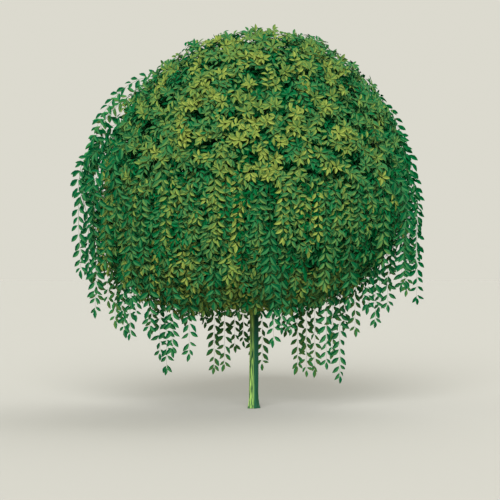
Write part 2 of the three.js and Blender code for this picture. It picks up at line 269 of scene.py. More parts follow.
def bark_group() -> bpy.types.NodeTree:
    """A node group of upright fissured bark.

    Noise stretched upwards gives fibres, a wider stretched noise gives fissures, and a rounder noise lays
    green algae over the fibres. Painted shade, of the algae's colour, covers the right side: x, made
    ragged by the fibres by up to 20 mm, is eased from nought to one over 22 mm. The fissures take the
    groove colour, the bark's dark tone with painted shade in the recesses. The height is fibres less
    fissures.

    Returns:
        The group, with inputs Ridge, Groove, Algae And Shade, Fineness, Cover and Painted Shade, and
        outputs Colour, Height and Roughness.
    """
    tree = bpy.data.node_groups.new("fissured_bark", "ShaderNodeTree")
    colour, value = "NodeSocketColor", "NodeSocketFloat"
    for name in ("Ridge", "Groove", "Algae"):
        tree.interface.new_socket(name=name, in_out="INPUT", socket_type=colour)
    for name in ("Fineness", "Cover", "Moss"):
        tree.interface.new_socket(name=name, in_out="INPUT", socket_type=value)
    for name, kind in (("Colour", colour), ("Height", value), ("Roughness", value)):
        tree.interface.new_socket(name=name, in_out="OUTPUT", socket_type=kind)
    new, link = tree.nodes.new, tree.links.new
    given, made = new("NodeGroupInput"), new("NodeGroupOutput")
    place = new("ShaderNodeTexCoord")

    def maths(operation: str, a: Socket, b: Socket | float) -> Socket:
        """Two values, or a value and a number, joined by a named operation."""
        node = new("ShaderNodeMath")
        node.operation = operation
        link(a, node.inputs[0])
        if isinstance(b, float):
            node.inputs[1].default_value = b
        else:
            link(b, node.inputs[1])
        return node.outputs[0]

    def stretched_noise(upright: float, scale: float, detail: float) -> Socket:
        """Noise in object space, drawn out upwards, and made finer by the group's input."""
        mapping = new("ShaderNodeMapping")
        mapping.inputs["Scale"].default_value = (1, 1, upright)
        link(place.outputs["Object"], mapping.inputs["Vector"])
        noise = new("ShaderNodeTexNoise")
        noise.inputs["Detail"].default_value = detail
        link(mapping.outputs["Vector"], noise.inputs["Vector"])
        link(maths("MULTIPLY", given.outputs["Fineness"], scale), noise.inputs["Scale"])
        return noise.outputs["Fac"]

    def ranged(value: Socket, low: float, high: float, least: float = 0.0, most: float = 1.0) -> Socket:
        """The value from low to high, eased and spread from least to most."""
        spread = new("ShaderNodeMapRange")
        spread.interpolation_type = "SMOOTHSTEP"
        for socket, number in zip(("From Min", "From Max", "To Min", "To Max"), (low, high, least, most)):
            spread.inputs[socket].default_value = number
        link(value, spread.inputs["Value"])
        return spread.outputs["Result"]

    def mixed(mask: Socket, a: Socket, b: Socket) -> Socket:
        """Colour a, with colour b where the mask is one."""
        mix = new("ShaderNodeMix")
        mix.data_type = "RGBA"
        link(mask, mix.inputs[0])
        link(a, mix.inputs[6])
        link(b, mix.inputs[7])
        return mix.outputs[2]

    fibres = stretched_noise(upright=0.07, scale=110.0, detail=4.0)
    fissures = ranged(stretched_noise(upright=0.11, scale=44.0, detail=3.0), low=0.56, high=0.68)
    patches = stretched_noise(upright=0.5, scale=9.0, detail=3.0)
    wood = mixed(ranged(fibres, low=0.36, high=0.66), given.outputs["Groove"], given.outputs["Ridge"])
    cover = maths("MULTIPLY", ranged(patches, low=0.38, high=0.62), given.outputs["Cover"])
    across_x = new("ShaderNodeSeparateXYZ")
    link(place.outputs["Object"], across_x.inputs[0])
    ragged = maths("ADD", across_x.outputs["X"], maths("MULTIPLY", fibres, 0.020))
    # Painted shade: the right side, past x of nought, takes the algae's colour.
    moss = maths("MULTIPLY", ranged(ragged, low=0.000, high=0.022), given.outputs["Moss"])
    green = mixed(maths("MAXIMUM", cover, moss), wood, given.outputs["Algae"])
    # The fissures take the groove colour: the bark's dark tone, and painted shade in the recesses.
    link(mixed(fissures, green, given.outputs["Groove"]), made.inputs["Colour"])
    link(maths("SUBTRACT", fibres, fissures), made.inputs["Height"])
    link(ranged(patches, low=0.0, high=1.0, least=0.68, most=0.92), made.inputs["Roughness"])
    return tree


@dataclass(frozen=True)
class BarkFinish:
    """Willow bark: upright fibres and fissures under a thin film of algae, with painted shade on the right
    side.

    Attributes:
        name: Its name.
        ridge: Colour of the raised fibres.
        groove: Colour between them and in the fissures: the bark's dark tone, with painted shade in the
            fissures.
        algae: Colour of the algae, and of the painted shade on the right side.
        fineness: How much finer the grain is than the trunk's.
        cover: How densely algae cover their patches.
        moss: How densely the painted shade covers the right side.
        relief: Depth of the bump.
        bump: Strength of the bump.
        specular: Its sheen.
    """

    name: str
    ridge: Triple = (0.38, 0.60, 0.12)
    groove: Triple = (0.003, 0.048, 0.017)
    algae: Triple = (0.003, 0.056, 0.025)
    fineness: float = 1.0
    cover: float = 0.35
    moss: float = 1.0
    relief: float = 0.006
    bump: float = 0.7
    specular: float = 0.2

    def material(self, group: bpy.types.NodeTree) -> Material:
        """The finish as a material that holds the bark group."""
        material = bpy.data.materials.new(self.name)
        material.use_nodes = True
        tree = material.node_tree
        shader = tree.nodes["Principled BSDF"]
        bark = tree.nodes.new("ShaderNodeGroup")
        bark.node_tree = group
        for socket, colour in (("Ridge", self.ridge), ("Groove", self.groove), ("Algae", self.algae)):
            bark.inputs[socket].default_value = (*colour, 1)
        for socket, share in (("Fineness", self.fineness), ("Cover", self.cover), ("Moss", self.moss)):
            bark.inputs[socket].default_value = share
        bump = tree.nodes.new("ShaderNodeBump")
        bump.inputs["Strength"].default_value = self.bump
        bump.inputs["Distance"].default_value = self.relief
        for out, node, socket in (
            (bark.outputs["Colour"], shader, "Base Color"),
            (bark.outputs["Roughness"], shader, "Roughness"),
            (bark.outputs["Height"], bump, "Height"),
            (bump.outputs["Normal"], shader, "Normal"),
        ):
            tree.links.new(out, node.inputs[socket])
        shader.inputs["Specular IOR Level"].default_value = self.specular
        return material


# The crown's form --------------------


@dataclass(frozen=True)
class CrownForm:
    """The even outline of the crown's dense body: a superellipse above its heart and one below.

    Attributes:
        heart: The point that it is measured from.
        radius: Its reach at the level of the heart.
        rise: Its height above the heart.
        drop: Its depth below the heart.
        power: The power of the outline; two is an ellipse.
        top_lean: How far its middle moves to the right for each metre above the heart.
        foot_lean: How far its middle moves to the left for each metre below the heart.
        low_down: Share of the drop at which the underside's middle is read.
        rim: Share of the reach past which its height no longer falls.
    """

    heart: Array
    radius: float
    rise: float
    drop: float
    power: float = 2.09
    top_lean: float = 0.045
    foot_lean: float = 0.16
    low_down: float = 0.7
    rim: float = 0.985

    @classmethod
    def from_frame(
        cls,
        masses: list[str],
        height: float = 1.50,
        right: float = 0.010,
        inset: float = 0.100,
        crest: float = 0.030,
        drop: float = 0.745,
    ) -> "CrownForm":
        """The form inside the foliage masses' box, with room left for shoots that stand clear of it.

        Args:
            masses: Names of the foliage masses.
            height: Height of the heart above the ground.
            right: How far to the right of the box's middle it lies.
            inset: Share of the box's half width that the body leaves free.
            crest: Height that leaves stand up over the body.
            drop: Its depth below the heart.

        Returns:
            The form.
        """
        corners = [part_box(name) for name in masses]
        low = np.min([c[0] for c in corners], axis=0)
        high = np.max([c[1] for c in corners], axis=0)
        heart = np.array([(low[0] + high[0]) / 2 + right, (low[1] + high[1]) / 2, height])
        radius = float((high - low)[:2].mean() / 2) * (1 - inset)
        return cls(heart, radius, float(high[2]) - height - crest, drop)

    def outline(self, towards: Array) -> Array:
        """Distance from the heart to the outline along unit directions."""
        up = towards[..., 2]
        level = np.linalg.norm(towards[..., :2], axis=-1) / self.radius
        upright = np.abs(up) / np.where(up > 0, self.rise, self.drop)
        return (level**self.power + upright**self.power) ** (-1 / self.power)

    def depth(self, points: Array) -> Array:
        """How far out points lie: nought at the heart and one on the outline."""
        offset = points - self.heart
        offset[..., 0] -= self.leaning(points[..., 2])
        distance = np.linalg.norm(offset, axis=-1)
        return distance / self.outline(offset / np.maximum(distance, 1e-9)[..., None])

    def facing(self, points: Array) -> Array:
        """Unit vectors straight out of the outline's surface."""
        offset = points - self.heart
        height = np.where(offset[..., 2:] > 0, self.rise, self.drop)
        slope = np.concatenate([offset[..., :2] / self.radius**2, offset[..., 2:] / height**2], axis=-1)
        return unit(slope)

    def point(self, tilt: Array, turn: Array, depth: Array) -> Array:
        """Points at a tilt from straight up, an angle round the trunk and a depth."""
        towards = swung(UP, outwards(turn), tilt)
        placed = self.heart + towards * (self.outline(towards) * depth)[..., None]
        placed[..., 0] += self.leaning(placed[..., 2])
        return placed

    def leaning(self, height: Array) -> Array:
        """How far to the right the crown's middle lies at heights above the ground."""
        above = height - self.heart[2]
        return above * np.where(above > 0, self.top_lean, self.foot_lean)

    def reach(self, points: Array) -> Array:
        """Level distance of points from the heart."""
        return np.linalg.norm(points[..., :2] - self.heart[:2], axis=-1)

    def share_of_height(self, reach: Array, depth: float) -> Array:
        """Height of the outline, at a depth, over a level distance, as a share of rise or drop."""
        level = np.minimum(self.rim, reach / (self.radius * depth))
        return depth * (1 - level**self.power) ** (1 / self.power)

    def underside(self, spots: Array) -> Array:
        """Height of the body's lower side over spots, (..., 2), measured from its middle low down."""
        middle = self.heart[:2] + [float(self.leaning(self.heart[2] - self.low_down * self.drop)), 0]
        reach = np.linalg.norm(spots - middle, axis=-1)
        return self.heart[2] - self.drop * self.share_of_height(reach, 1.0)

    def roof(self, reach: Array, depth: float) -> Array:
        """Height of the upper side, at a depth, at a level distance from the heart."""
        return self.heart[2] + self.rise * self.share_of_height(reach, depth)


def spiral(count: int, zone: Span, rng: np.random.Generator, jitter: float) -> tuple[Array, Array]:
    """Directions spread evenly over a zone of a dome by the sunflower rule.

    Each next direction turns by the golden angle, and its height falls by an equal step, which gives each
    the same share of the sphere. Both are then shaken by the seeded generator.

    Args:
        count: How many directions.
        zone: The zone's smallest and largest tilt from straight up, in degrees.
        rng: The seeded generator.
        jitter: How far they are shaken, as a share of their spacing.

    Returns:
        Tilts and turns, in radians.
    """
    share = (np.arange(count) + 0.5) / count
    high, low = (math.cos(math.radians(angle)) for angle in zone)
    spacing = math.sqrt(TURN * (high - low) / count)
    shake = spacing * jitter * rng.uniform(-1, 1, (2, count))
    tilt = np.abs(np.arccos(high + share * (low - high)) + shake[0])
    least_girth = 0.2
    return tilt, np.arange(count) * GOLDEN_ANGLE + shake[1] / np.maximum(np.sin(tilt), least_girth)


# Wood: boughs, limbs, branches and branchlets --------------------


@dataclass
class Buds:
    """Places that something can spring from: points, unit headings and the wood's radius there."""

    points: Array
    heading: Array
    radii: Array

    def joined(self, other: "Buds") -> "Buds":
        """These and others."""
        pairs = ((self.points, other.points), (self.heading, other.heading), (self.radii, other.radii))
        return Buds(*(np.concatenate(p) for p in pairs))

    def nearest(self, ends: Array, ahead: float) -> Array:
        """The number of the bud that each end grows from: the one whose point ahead lies nearest."""
        aim = self.points + self.heading * ahead
        return np.argmin((aim**2).sum(1)[None] - 2 * ends @ aim.T, axis=1)


@dataclass
class Wood:
    """One order of wood: curves, (limbs, knots, 3), with their radii, (limbs, knots)."""

    lines: Array
    radii: Array

    def buds(self, first: float, count: int) -> Buds:
        """Evenly spread buds, count of them on each limb, from a first share of its length on."""
        lines = Lines(self.lines)
        whole = lines.walked[:, -1:]
        spots = whole * np.linspace(first, 1, count)
        along = np.linspace(first, 1, count) * (self.lines.shape[1] - 1)
        radii = np.stack([np.interp(along, np.arange(len(r)), r) for r in self.radii])
        points, heading = lines.at(spots), lines.heading(spots)
        return Buds(points.reshape(-1, 3), heading.reshape(-1, 3), radii.reshape(-1))


@dataclass(frozen=True)
class Order:
    """The rule for one order of wood.

    Attributes:
        count: How many limbs.
        zone: Smallest and largest tilt from straight up of their ends, in degrees.
        depth: Lowest and highest depth of their ends in the crown.
        base: Thickest radius at the foot.
        tip: Radius at the end.
        arch: How much they rise before they reach out.
        ahead: How far in front of a bud its limb's end is looked for.
        knots: Points on each curve.
        sides: Sides of its stems.
    """

    count: int
    zone: Span
    depth: Span
    base: float
    tip: float
    arch: float
    ahead: float
    knots: int
    sides: int


@dataclass
class Skeleton:
    """Boughs from the frame, and the orders of wood that grow on from them.

    Attributes:
        form: The crown's form.
        rng: The seeded generator.
        bough_names: CAD nodes of the boughs.
        bough_base: Radius where a bough springs from the graft head.
        bough_tip: Radius at its far end.
        bough_knots: Points on its curve.
        bough_leave: Its curve's handle at the foot: shares of its level reach and of its rise, and what
            is added upwards.
        bough_arrive: The handle at its end: shares of its level reach and of its rise.
        bough_taper: Power of the share of its length by which it grows thinner.
        collar: Swelling at its foot, as a share of the radius, and how fast that dies away.
        spring_depth: How far below the trunk's top the boughs spring.
        jitter: How far the ends of limbs are shaken, as a share of their spacing.
        handle: Length of their curves' handles, as a share of their length.
        reaching: How much their ends point out of the crown's outline, and how much level outwards.
        thinner: Greatest radius of a limb at its foot, as a share of the wood's that it springs from.
        limbs: The rule for limbs.
        branches: The rule for branches.
        branchlets: The rule for branchlets.
        orders: What has grown: boughs, limbs, branches and branchlets.
    """

    form: CrownForm
    rng: np.random.Generator
    bough_names: list[str]
    bough_base: float = 0.020
    bough_tip: float = 0.0105
    bough_knots: int = 40
    bough_leave: Triple = (0.30, 0.42, 0.06)
    bough_arrive: Span = (0.34, 0.16)
    bough_taper: float = 0.8
    collar: Span = (0.35, 26.0)
    spring_depth: float = 0.078
    jitter: float = 0.35
    handle: float = 0.36
    reaching: Span = (0.6, 0.5)
    thinner: float = 0.8
    # Each order's count, zone and depth come first.
    limbs: Order = Order(
        56, (0, 84), (0.70, 0.78), base=0.0085, tip=0.0042, arch=0.09, ahead=0.34, knots=14, sides=7
    )
    branches: Order = Order(
        330, (0, 100), (0.77, 0.84), base=0.0044, tip=0.0024, arch=0.02, ahead=0.16, knots=9, sides=5
    )
    branchlets: Order = Order(
        1150, (0, 106), (0.81, 0.90), base=0.0026, tip=0.0014, arch=0.004, ahead=0.08, knots=6, sides=4
    )
    orders: list[Wood] = field(default_factory=list)

    def boughs(self) -> Wood:
        """Boughs from the graft head to the far top corner of each bough's box.

        Returns:
            One tapering curve for each bough: it rises early, arches over and reaches the shell still
            climbing a little.
        """
        low, high = (np.array(c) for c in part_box("trunk"))
        axis = (low[:2] + high[:2]) / 2
        spring_height = high[2] - self.spring_depth
        starts, ends = [], []
        for name in self.bough_names:
            near, far = (np.array(c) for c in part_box(name))
            corner = np.where(np.abs(far[:2] - axis) > np.abs(near[:2] - axis), far[:2], near[:2])
            out = unit(np.array([*(corner - axis), 0.0]))
            ends.append(np.array([*corner, far[2]]) - out * self.bough_tip)
            starts.append(np.array([*axis, spring_height]) + out * self.bough_base)
        start, end = np.array(starts), np.array(ends)
        span = end - start
        level = np.linalg.norm(span[:, :2], axis=1)[:, None]
        out = unit(span * LEVEL)
        (leave, climb, lift), (arrive, slope) = self.bough_leave, self.bough_arrive
        early = start + out * leave * level + UP * (climb * span[:, 2:] + lift)
        late = end - out * arrive * level - UP * slope * span[:, 2:]
        lines = bezier(start, early, late, end, self.bough_knots)
        share = np.linspace(0, 1, self.bough_knots)
        collar = self.collar[0] * np.exp(-share * self.collar[1])
        taper = self.bough_base + (self.bough_tip - self.bough_base) * share**self.bough_taper
        return Wood(lines, np.broadcast_to(taper * (1 + collar), lines.shape[:2]))

    def next_order(self, rule: Order, buds: Buds) -> Wood:
        """Wood that grows from buds to ends spread through the crown.

        Args:
            rule: The order's rule.
            buds: Where it may spring from.

        Returns:
            Curves that leave their bud along its heading and arrive reaching outwards.
        """
        tilt, turn = spiral(rule.count, rule.zone, self.rng, self.jitter)
        ends = self.form.point(tilt, turn, self.rng.uniform(*rule.depth, rule.count))
        chosen = buds.nearest(ends, rule.ahead)
        start = buds.points[chosen]
        span = ends - start
        length = np.linalg.norm(span, axis=1)[:, None]
        leaving = unit(buds.heading[chosen] + unit(span))
        out, level = self.reaching
        arriving = unit(out * self.form.facing(ends) + level * unit((ends - self.form.heart) * LEVEL))
        early = start + leaving * self.handle * length + UP * rule.arch
        late = ends - arriving * self.handle * length
        base = np.minimum(rule.base, self.thinner * buds.radii[chosen])[:, None]
        share = np.linspace(0, 1, rule.knots)[None]
        return Wood(bezier(start, early, late, ends, rule.knots), base + (rule.tip - base) * share)

    def grow(self) -> None:
        """Grows all orders, each from the ones before it."""
        boughs = self.boughs()
        limbs = self.next_order(self.limbs, boughs.buds(first=0.4, count=12))
        buds = limbs.buds(first=0.3, count=8).joined(boughs.buds(first=0.8, count=3))
        branches = self.next_order(self.branches, buds)
        buds = branches.buds(first=0.15, count=9).joined(limbs.buds(first=0.7, count=4))
        branchlets = self.next_order(self.branchlets, buds)
        self.orders = [boughs, limbs, branches, branchlets]
        LOG.info("wood: %s limbs by order", [len(o.lines) for o in self.orders])

    def fine_buds(self) -> Buds:
        """Where leafy sprays spring from: branchlets and branches."""
        branches, branchlets = self.orders[2:]
        return branchlets.buds(first=0.25, count=6).joined(branches.buds(first=0.5, count=5))

    def build(self, finish: Material, nodes: list[str]) -> None:
        """Builds limbs, branches and branchlets, each order as one piece.

        Args:
            finish: Their bark.
            nodes: The CAD nodes that they stand for.
        """
        rules = (("limbs", self.limbs), ("branches", self.branches), ("branchlets", self.branchlets))
        for (name, rule), wood in zip(rules, self.orders[1:]):
            faces = tube_faces(rule.count, rule.knots, rule.sides)
            piece = make_piece(name, tube_grids(wood.lines, wood.radii, rule.sides), faces, True)
            dress(piece, finish, nodes)


# Shoots --------------------


@dataclass(frozen=True)
class Habit:
    """How one kind of shoot carries its leaves.

    Attributes:
        spacing: Distance between pairs of leaves.
        leaf: Length of a full-grown leaf.
        spread: Angle between leaf and shoot, in degrees.
        star: Leaves in the star at the tip, or nought for one leaf.
        droop: How strongly leaves turn to the ground.
        roll: How far the leaves' plane is turned about the shoot at random, in radians.
        fronting: How strongly leaves and stars turn from the crown's own outline to its front or back.
        rise: Least and greatest angle at which short shoots leave the dome's surface, in degrees.
        lean: Angle between the leaves of a star and the way that it faces, in radians.
        breadth: Breadth of its leaves, as a share of the blade's.
        segments: Straight pieces of its stem.
        foot: Stem radius at its foot.
    """

    spacing: float
    leaf: float
    spread: float
    star: int = 0
    droop: float = 0.16
    roll: float = 0.25
    fronting: float = 0.0
    rise: Span = (4.0, 28.0)
    lean: float = 1.28
    breadth: float = 1.0
    segments: int = 3
    foot: float = 0.0014


@dataclass
class Shoots:
    """Shoots of one kind, each with its own length.

    Attributes:
        habit: How they carry leaves.
        lines: Their courses from the root on.
        lengths: Where each ends, as a distance along it.
        bare: Distance along each before which no leaf grows.
        inner: Depth in the crown below which no leaf grows, (shoots,).
        light: Painted light of each, by how sunlit it is, from nought to one, (shoots,).
        cool: Chance of each to take a cool tint, (shoots,).
    """

    habit: Habit
    lines: Lines
    lengths: Array
    bare: Array
    inner: Array
    light: Array
    cool: Array


@dataclass
class Grower:
    """Grows shoots out of the wood under their own weight, and tells how much painted light a place gets.

    Attributes:
        form: The crown's form.
        buds: Where shoots may spring from.
        rng: The seeded generator.
        sunny: Direction that the crown's sunlit side faces.
        far_side: Sunlight on the side opposite, as a share of the sunny side's.
        contrast: Growth of the light with how squarely the outline faces the sun.
        shaded: Light taken off all round.
        darkest: Least light.
        bounced: Painted light added where the outline faces the ground.
        step: Length of a step of growth of hanging shoots.
        sway: How far a shoot strays to the side in a step.
        wave: Angle of a cosine by which the sway changes in a step, in radians.
        middle_knot: Knot of a hanging shoot where its light and place are read.
    """

    form: CrownForm
    buds: Buds
    rng: np.random.Generator
    sunny: Triple = (-0.01, -0.82, 0.57)
    far_side: float = 0.86
    contrast: float = 1.6
    shaded: float = 0.55
    darkest: float = -0.20
    bounced: float = 0.55
    step: float = 0.05
    sway: float = 0.03
    wave: float = 1.1
    middle_knot: int = 20

    def sun(self, points: Array) -> Array:
        """How squarely the outline faces the sunny side or, less so, the one opposite: painted light."""
        facing = self.form.facing(points)
        front = facing @ np.array(self.sunny)
        back = facing @ (np.array(self.sunny) * [1, -1, 1])
        lit = self.contrast * np.maximum(front, self.far_side * back) - self.shaded
        return np.maximum(lit, self.darkest)

    def bounce(self, points: Array) -> Array:
        """Painted light that the pale ground throws back: twice how squarely points look down, less 0.7.
        """
        return self.bounced * np.clip(-2 * self.form.facing(points)[..., 2] - 0.7, 0, 1)

    def light(self, rule: Triple, points: Array) -> Array:
        """Painted light of shoots at points, less the bounce.

        Args:
            rule: Light of a shoot edge on to the sun, what one that faces it gains, and the spread.
            points: One for each shoot.

        Returns:
            About nought to one, each shaken by the spread.
        """
        base, sunward, spread = rule
        return base + sunward * self.sun(points) + self.rng.normal(0, spread, len(points))

    def rooted(self, feet: Array, knots: Array, ahead: float = 0.05) -> Lines:
        """Courses that start at the bud that each shoot springs from and go on through its knots."""
        roots = self.buds.points[self.buds.nearest(feet, ahead)]
        return Lines(np.concatenate([roots[:, None], knots], axis=1))

    def weep(self, start: Array, heading: Array, step: Array, steps: int, pull: Span) -> Array:
        """Carries shoots forward step by step, while their own weight turns them to the ground.

        Args:
            start: Where the shoots begin, (n, 3).
            heading: Unit headings there, (n, 3).
            step: Length of a step, (n,).
            steps: How many steps.
            pull: Turn towards the ground in a step, at the foot and at the tip.

        Returns:
            Knots, (n, steps + 1, 3).
        """
        knots = [start]
        place, towards = start, heading
        sway = self.rng.normal(0, self.sway, (len(start), 3)) * LEVEL
        for number in range(steps):
            weight = pull[0] + (pull[1] - pull[0]) * number / steps
            towards = unit(towards - weight * UP + sway * math.cos(self.wave * number))
            place = place + towards * step[:, None]
            knots.append(place)
        return np.stack(knots, axis=1)


@dataclass(frozen=True)
class Layer:
    """Short leafy shoots that lie over the dome, in all directions on top and drooping at its sides.

    Attributes:
        habit: How they carry leaves.
        count: How many.
        zone: Smallest and largest tilt of their feet from straight up, in degrees.
        depth: Lowest and highest depth of their feet.
        length: Shortest and longest.
        light: Light of a shoot edge on to the sun, what one that faces it gains, and the spread.
        jitter: How far their feet are shaken, as a share of their spacing.
        sag: Turn downwards along the surface on top, its growth with one less the tilt's cosine, and
            that one's limit and power.
        steps: Steps of growth.
        pull: Turn towards the ground in a step, at the foot and at the tip.
        sunk: How far below its foot the bud of a shoot is looked for.
    """

    habit: Habit
    count: int
    zone: Span
    depth: Span
    length: Span
    light: Triple
    jitter: float = 0.9
    sag: tuple[float, ...] = (0.12, 1.3, 1.1, 1.2)
    steps: int = 6
    pull: Span = (0.02, 0.09)
    sunk: float = 0.03

    def grow(self, grower: Grower) -> Shoots:
        """Grows the layer's shoots."""
        rng, form, count = grower.rng, grower.form, self.count
        tilt, turn = spiral(count, self.zone, rng, self.jitter)
        feet = form.point(tilt, turn, rng.uniform(*self.depth, count))
        facing = form.facing(feet)
        on_top, growth, limit, power = self.sag
        sag = on_top + growth * np.clip(1 - np.cos(tilt), 0, limit)[:, None] ** power
        along = unit(across(rng.normal(0, 1, (count, 3)), facing) - sag * across(UP, facing))
        heading = swung(along, facing, np.radians(rng.uniform(*self.habit.rise, count)))
        length = rng.uniform(*self.length, count)
        knots = grower.weep(feet, heading, length / self.steps, self.steps, self.pull)
        lines = grower.rooted(feet - heading * self.sunk, knots)
        bare = lines.walked[:, 1]
        light = grower.light(self.light, feet) + grower.bounce(feet)
        return Shoots(self.habit, lines, bare + length, bare, np.zeros(count), light, np.zeros(count))


@dataclass(frozen=True)
class Curtain:
    """Shoots that spring from high in the crown and hang straight down to its underside.

    Attributes:
        habit: How they carry leaves.
        count: How many.
        reaches: Nearest and furthest level distance from the heart.
        foot_depth: Depth of their feet in the crown.
        highest: Greatest height of their feet.
        inset: How much nearer to the trunk they spring than they hang.
        jitter: How far they are shaken round the trunk, in radians.
        scatter: How far their first headings stray.
        steps: Steps of growth.
        pull: Turn towards the ground in a step, at the foot and at the tip.
        tips: Least and greatest height of their tips over the body's underside.
        leafy_from: Least height at which leaves begin, and how much higher they may.
        light: Light of a shoot edge on to the sun, what one that faces it gains, and the spread.
        pale: Share of shoots that are paler, and the light added to them.
        leftward: Painted light taken off at the right side and added at the left.
        shell: Lowest and highest depth below which no leaf grows.
        cool: Chance of a cool tint.
    """

    habit: Habit
    count: int = 900
    reaches: Span = (0.30, 1.13)
    foot_depth: float = 0.84
    highest: float = 2.05
    inset: float = 0.05
    jitter: float = 0.05
    scatter: float = 0.3
    steps: int = 34
    pull: Span = (0.7, 0.9)
    tips: Span = (-0.09, 0.07)
    leafy_from: Span = (1.60, 0.28)
    light: Triple = (0.62, 0.33, 0.20)
    pale: Span = (0.12, 0.24)
    leftward: float = 0.12
    shell: Span = (0.78, 0.86)
    cool: float = 0.05

    def grow(self, grower: Grower) -> Shoots:
        """Grows the curtain, with leaves only in the outer shell and below its shoulders."""
        rng, form, count = grower.rng, grower.form, self.count
        share = (np.arange(count) + rng.uniform(0, 1, count)) / count
        near, far = self.reaches
        reach = np.sqrt(near**2 + share * (far**2 - near**2))
        shake = rng.uniform(-self.jitter, self.jitter, count)
        out = outwards(np.arange(count) * GOLDEN_ANGLE + shake)
        top = np.minimum(form.roof(reach, self.foot_depth), self.highest)
        starts = form.heart * LEVEL + out * (reach - self.inset)[:, None] + UP * top[:, None]
        heading = unit(out + self.scatter * rng.normal(0, 1, (count, 3)))
        knots = grower.weep(starts, heading, np.full(count, grower.step), self.steps, self.pull)
        lines = grower.rooted(starts, knots)
        lengths = lines.down_to(form.underside(knots[:, -1, :2]) + rng.uniform(*self.tips, count))
        bare = lines.down_to(self.leafy_from[0] + rng.uniform(0.0, self.leafy_from[1], count))
        paler = self.pale[1] * (rng.uniform(0, 1, count) < self.pale[0])
        # Painted shade at the right side, painted light at the left.
        light = grower.light(self.light, knots[:, grower.middle_knot]) + paler - self.leftward * out[:, 0]
        shell = rng.uniform(*self.shell, count)
        return Shoots(self.habit, lines, lengths, bare, shell, light, np.full(count, self.cool))


@dataclass(frozen=True)
class Arches:
    """Shoots that stand clear of the body, follow its outline over the shoulder and hang free.

    Attributes:
        habit: How they carry leaves.
        count: How many, evenly spread round the crown.
        zone: Smallest and largest tilt of their feet, in degrees.
        ride: Lowest and highest depth that they keep.
        tips: Lowest and highest height of their tips.
        sideways: How far they gather at the crown's left and right.
        hugging: How much closer to the body those at its front and back keep.
        shoulder: How much further out than their own depth they pass the shoulder.
        lopsided: How much more they do so at the left and less at the right, as a share.
        leaning: How far to the right of the body they stand.
        jitter: How far they are shaken round the crown, as a share of their spacing.
        bare: Length of stem without leaves.
        foot_depth: Depth of their feet.
        easing: How fast they come up to their own depth.
        swing: How far they turn round the trunk on their way, in radians.
        drift: How far they hang out of plumb, for each metre of fall.
        knots: Points over the shoulder, and again below it.
        fall: Longest free fall below the shoulder.
        light: Light of a shoot edge on to the sun, what one that faces it gains, and the spread.
        cool: Chance of a cool tint at the crown's left and right.
    """

    habit: Habit
    count: int
    zone: Span
    ride: Span
    tips: Span
    sideways: float = 0.42
    hugging: float = 0.17
    shoulder: float = 0.034
    lopsided: float = 1.5
    leaning: float = 0.005
    jitter: float = 0.3
    bare: float = 0.03
    foot_depth: float = 0.88
    easing: float = 9.0
    swing: float = 0.05
    drift: float = 0.02
    knots: int = 26
    fall: float = 1.2
    light: Triple = (0.44, 0.30, 0.10)
    cool: float = 0.55

    def grow(self, grower: Grower) -> Shoots:
        """Grows shoots whose depth eases from their feet's to their own, and which then hang."""
        rng, form, count = grower.rng, grower.form, self.count
        turn = (np.arange(count) + rng.uniform(-self.jitter, self.jitter, count)) / count * TURN
        turn = turn - self.sideways * np.sin(2 * turn)
        foot = np.radians(rng.uniform(*self.zone, count))[:, None]
        depth = (rng.uniform(*self.ride, count) - self.hugging * np.sin(turn) ** 2)[:, None]
        shoulder = self.shoulder * (1 - self.lopsided * np.cos(turn))[:, None]
        share = np.linspace(0, 1, self.knots)[None]
        tilt = foot + (math.pi / 2 - foot) * share
        eased = depth - (depth - self.foot_depth) * np.exp(-self.easing * share)
        eased = eased + shoulder * np.sin(math.pi * share)
        swing = rng.normal(0, self.swing, count)[:, None] * share**2
        over = form.point(tilt, turn[:, None] + swing, eased) + self.leaning * RIGHT
        fall = np.linspace(0, self.fall, self.knots)[None, 1:, None]
        drift = rng.normal(0, self.drift, (count, 1, 3)) * LEVEL
        knots = np.concatenate([over, over[:, -1:] - UP * fall + drift * fall], axis=1)
        lines = grower.rooted(knots[:, 0], knots)
        lengths = lines.down_to(rng.uniform(*self.tips, count))
        light = grower.light(self.light, over[:, self.knots // 2 + 1])
        cool = self.cool * np.cos(turn) ** 2
        bare = lines.walked[:, 1] + self.bare
        return Shoots(self.habit, lines, lengths, bare, np.zeros(count), light, cool)


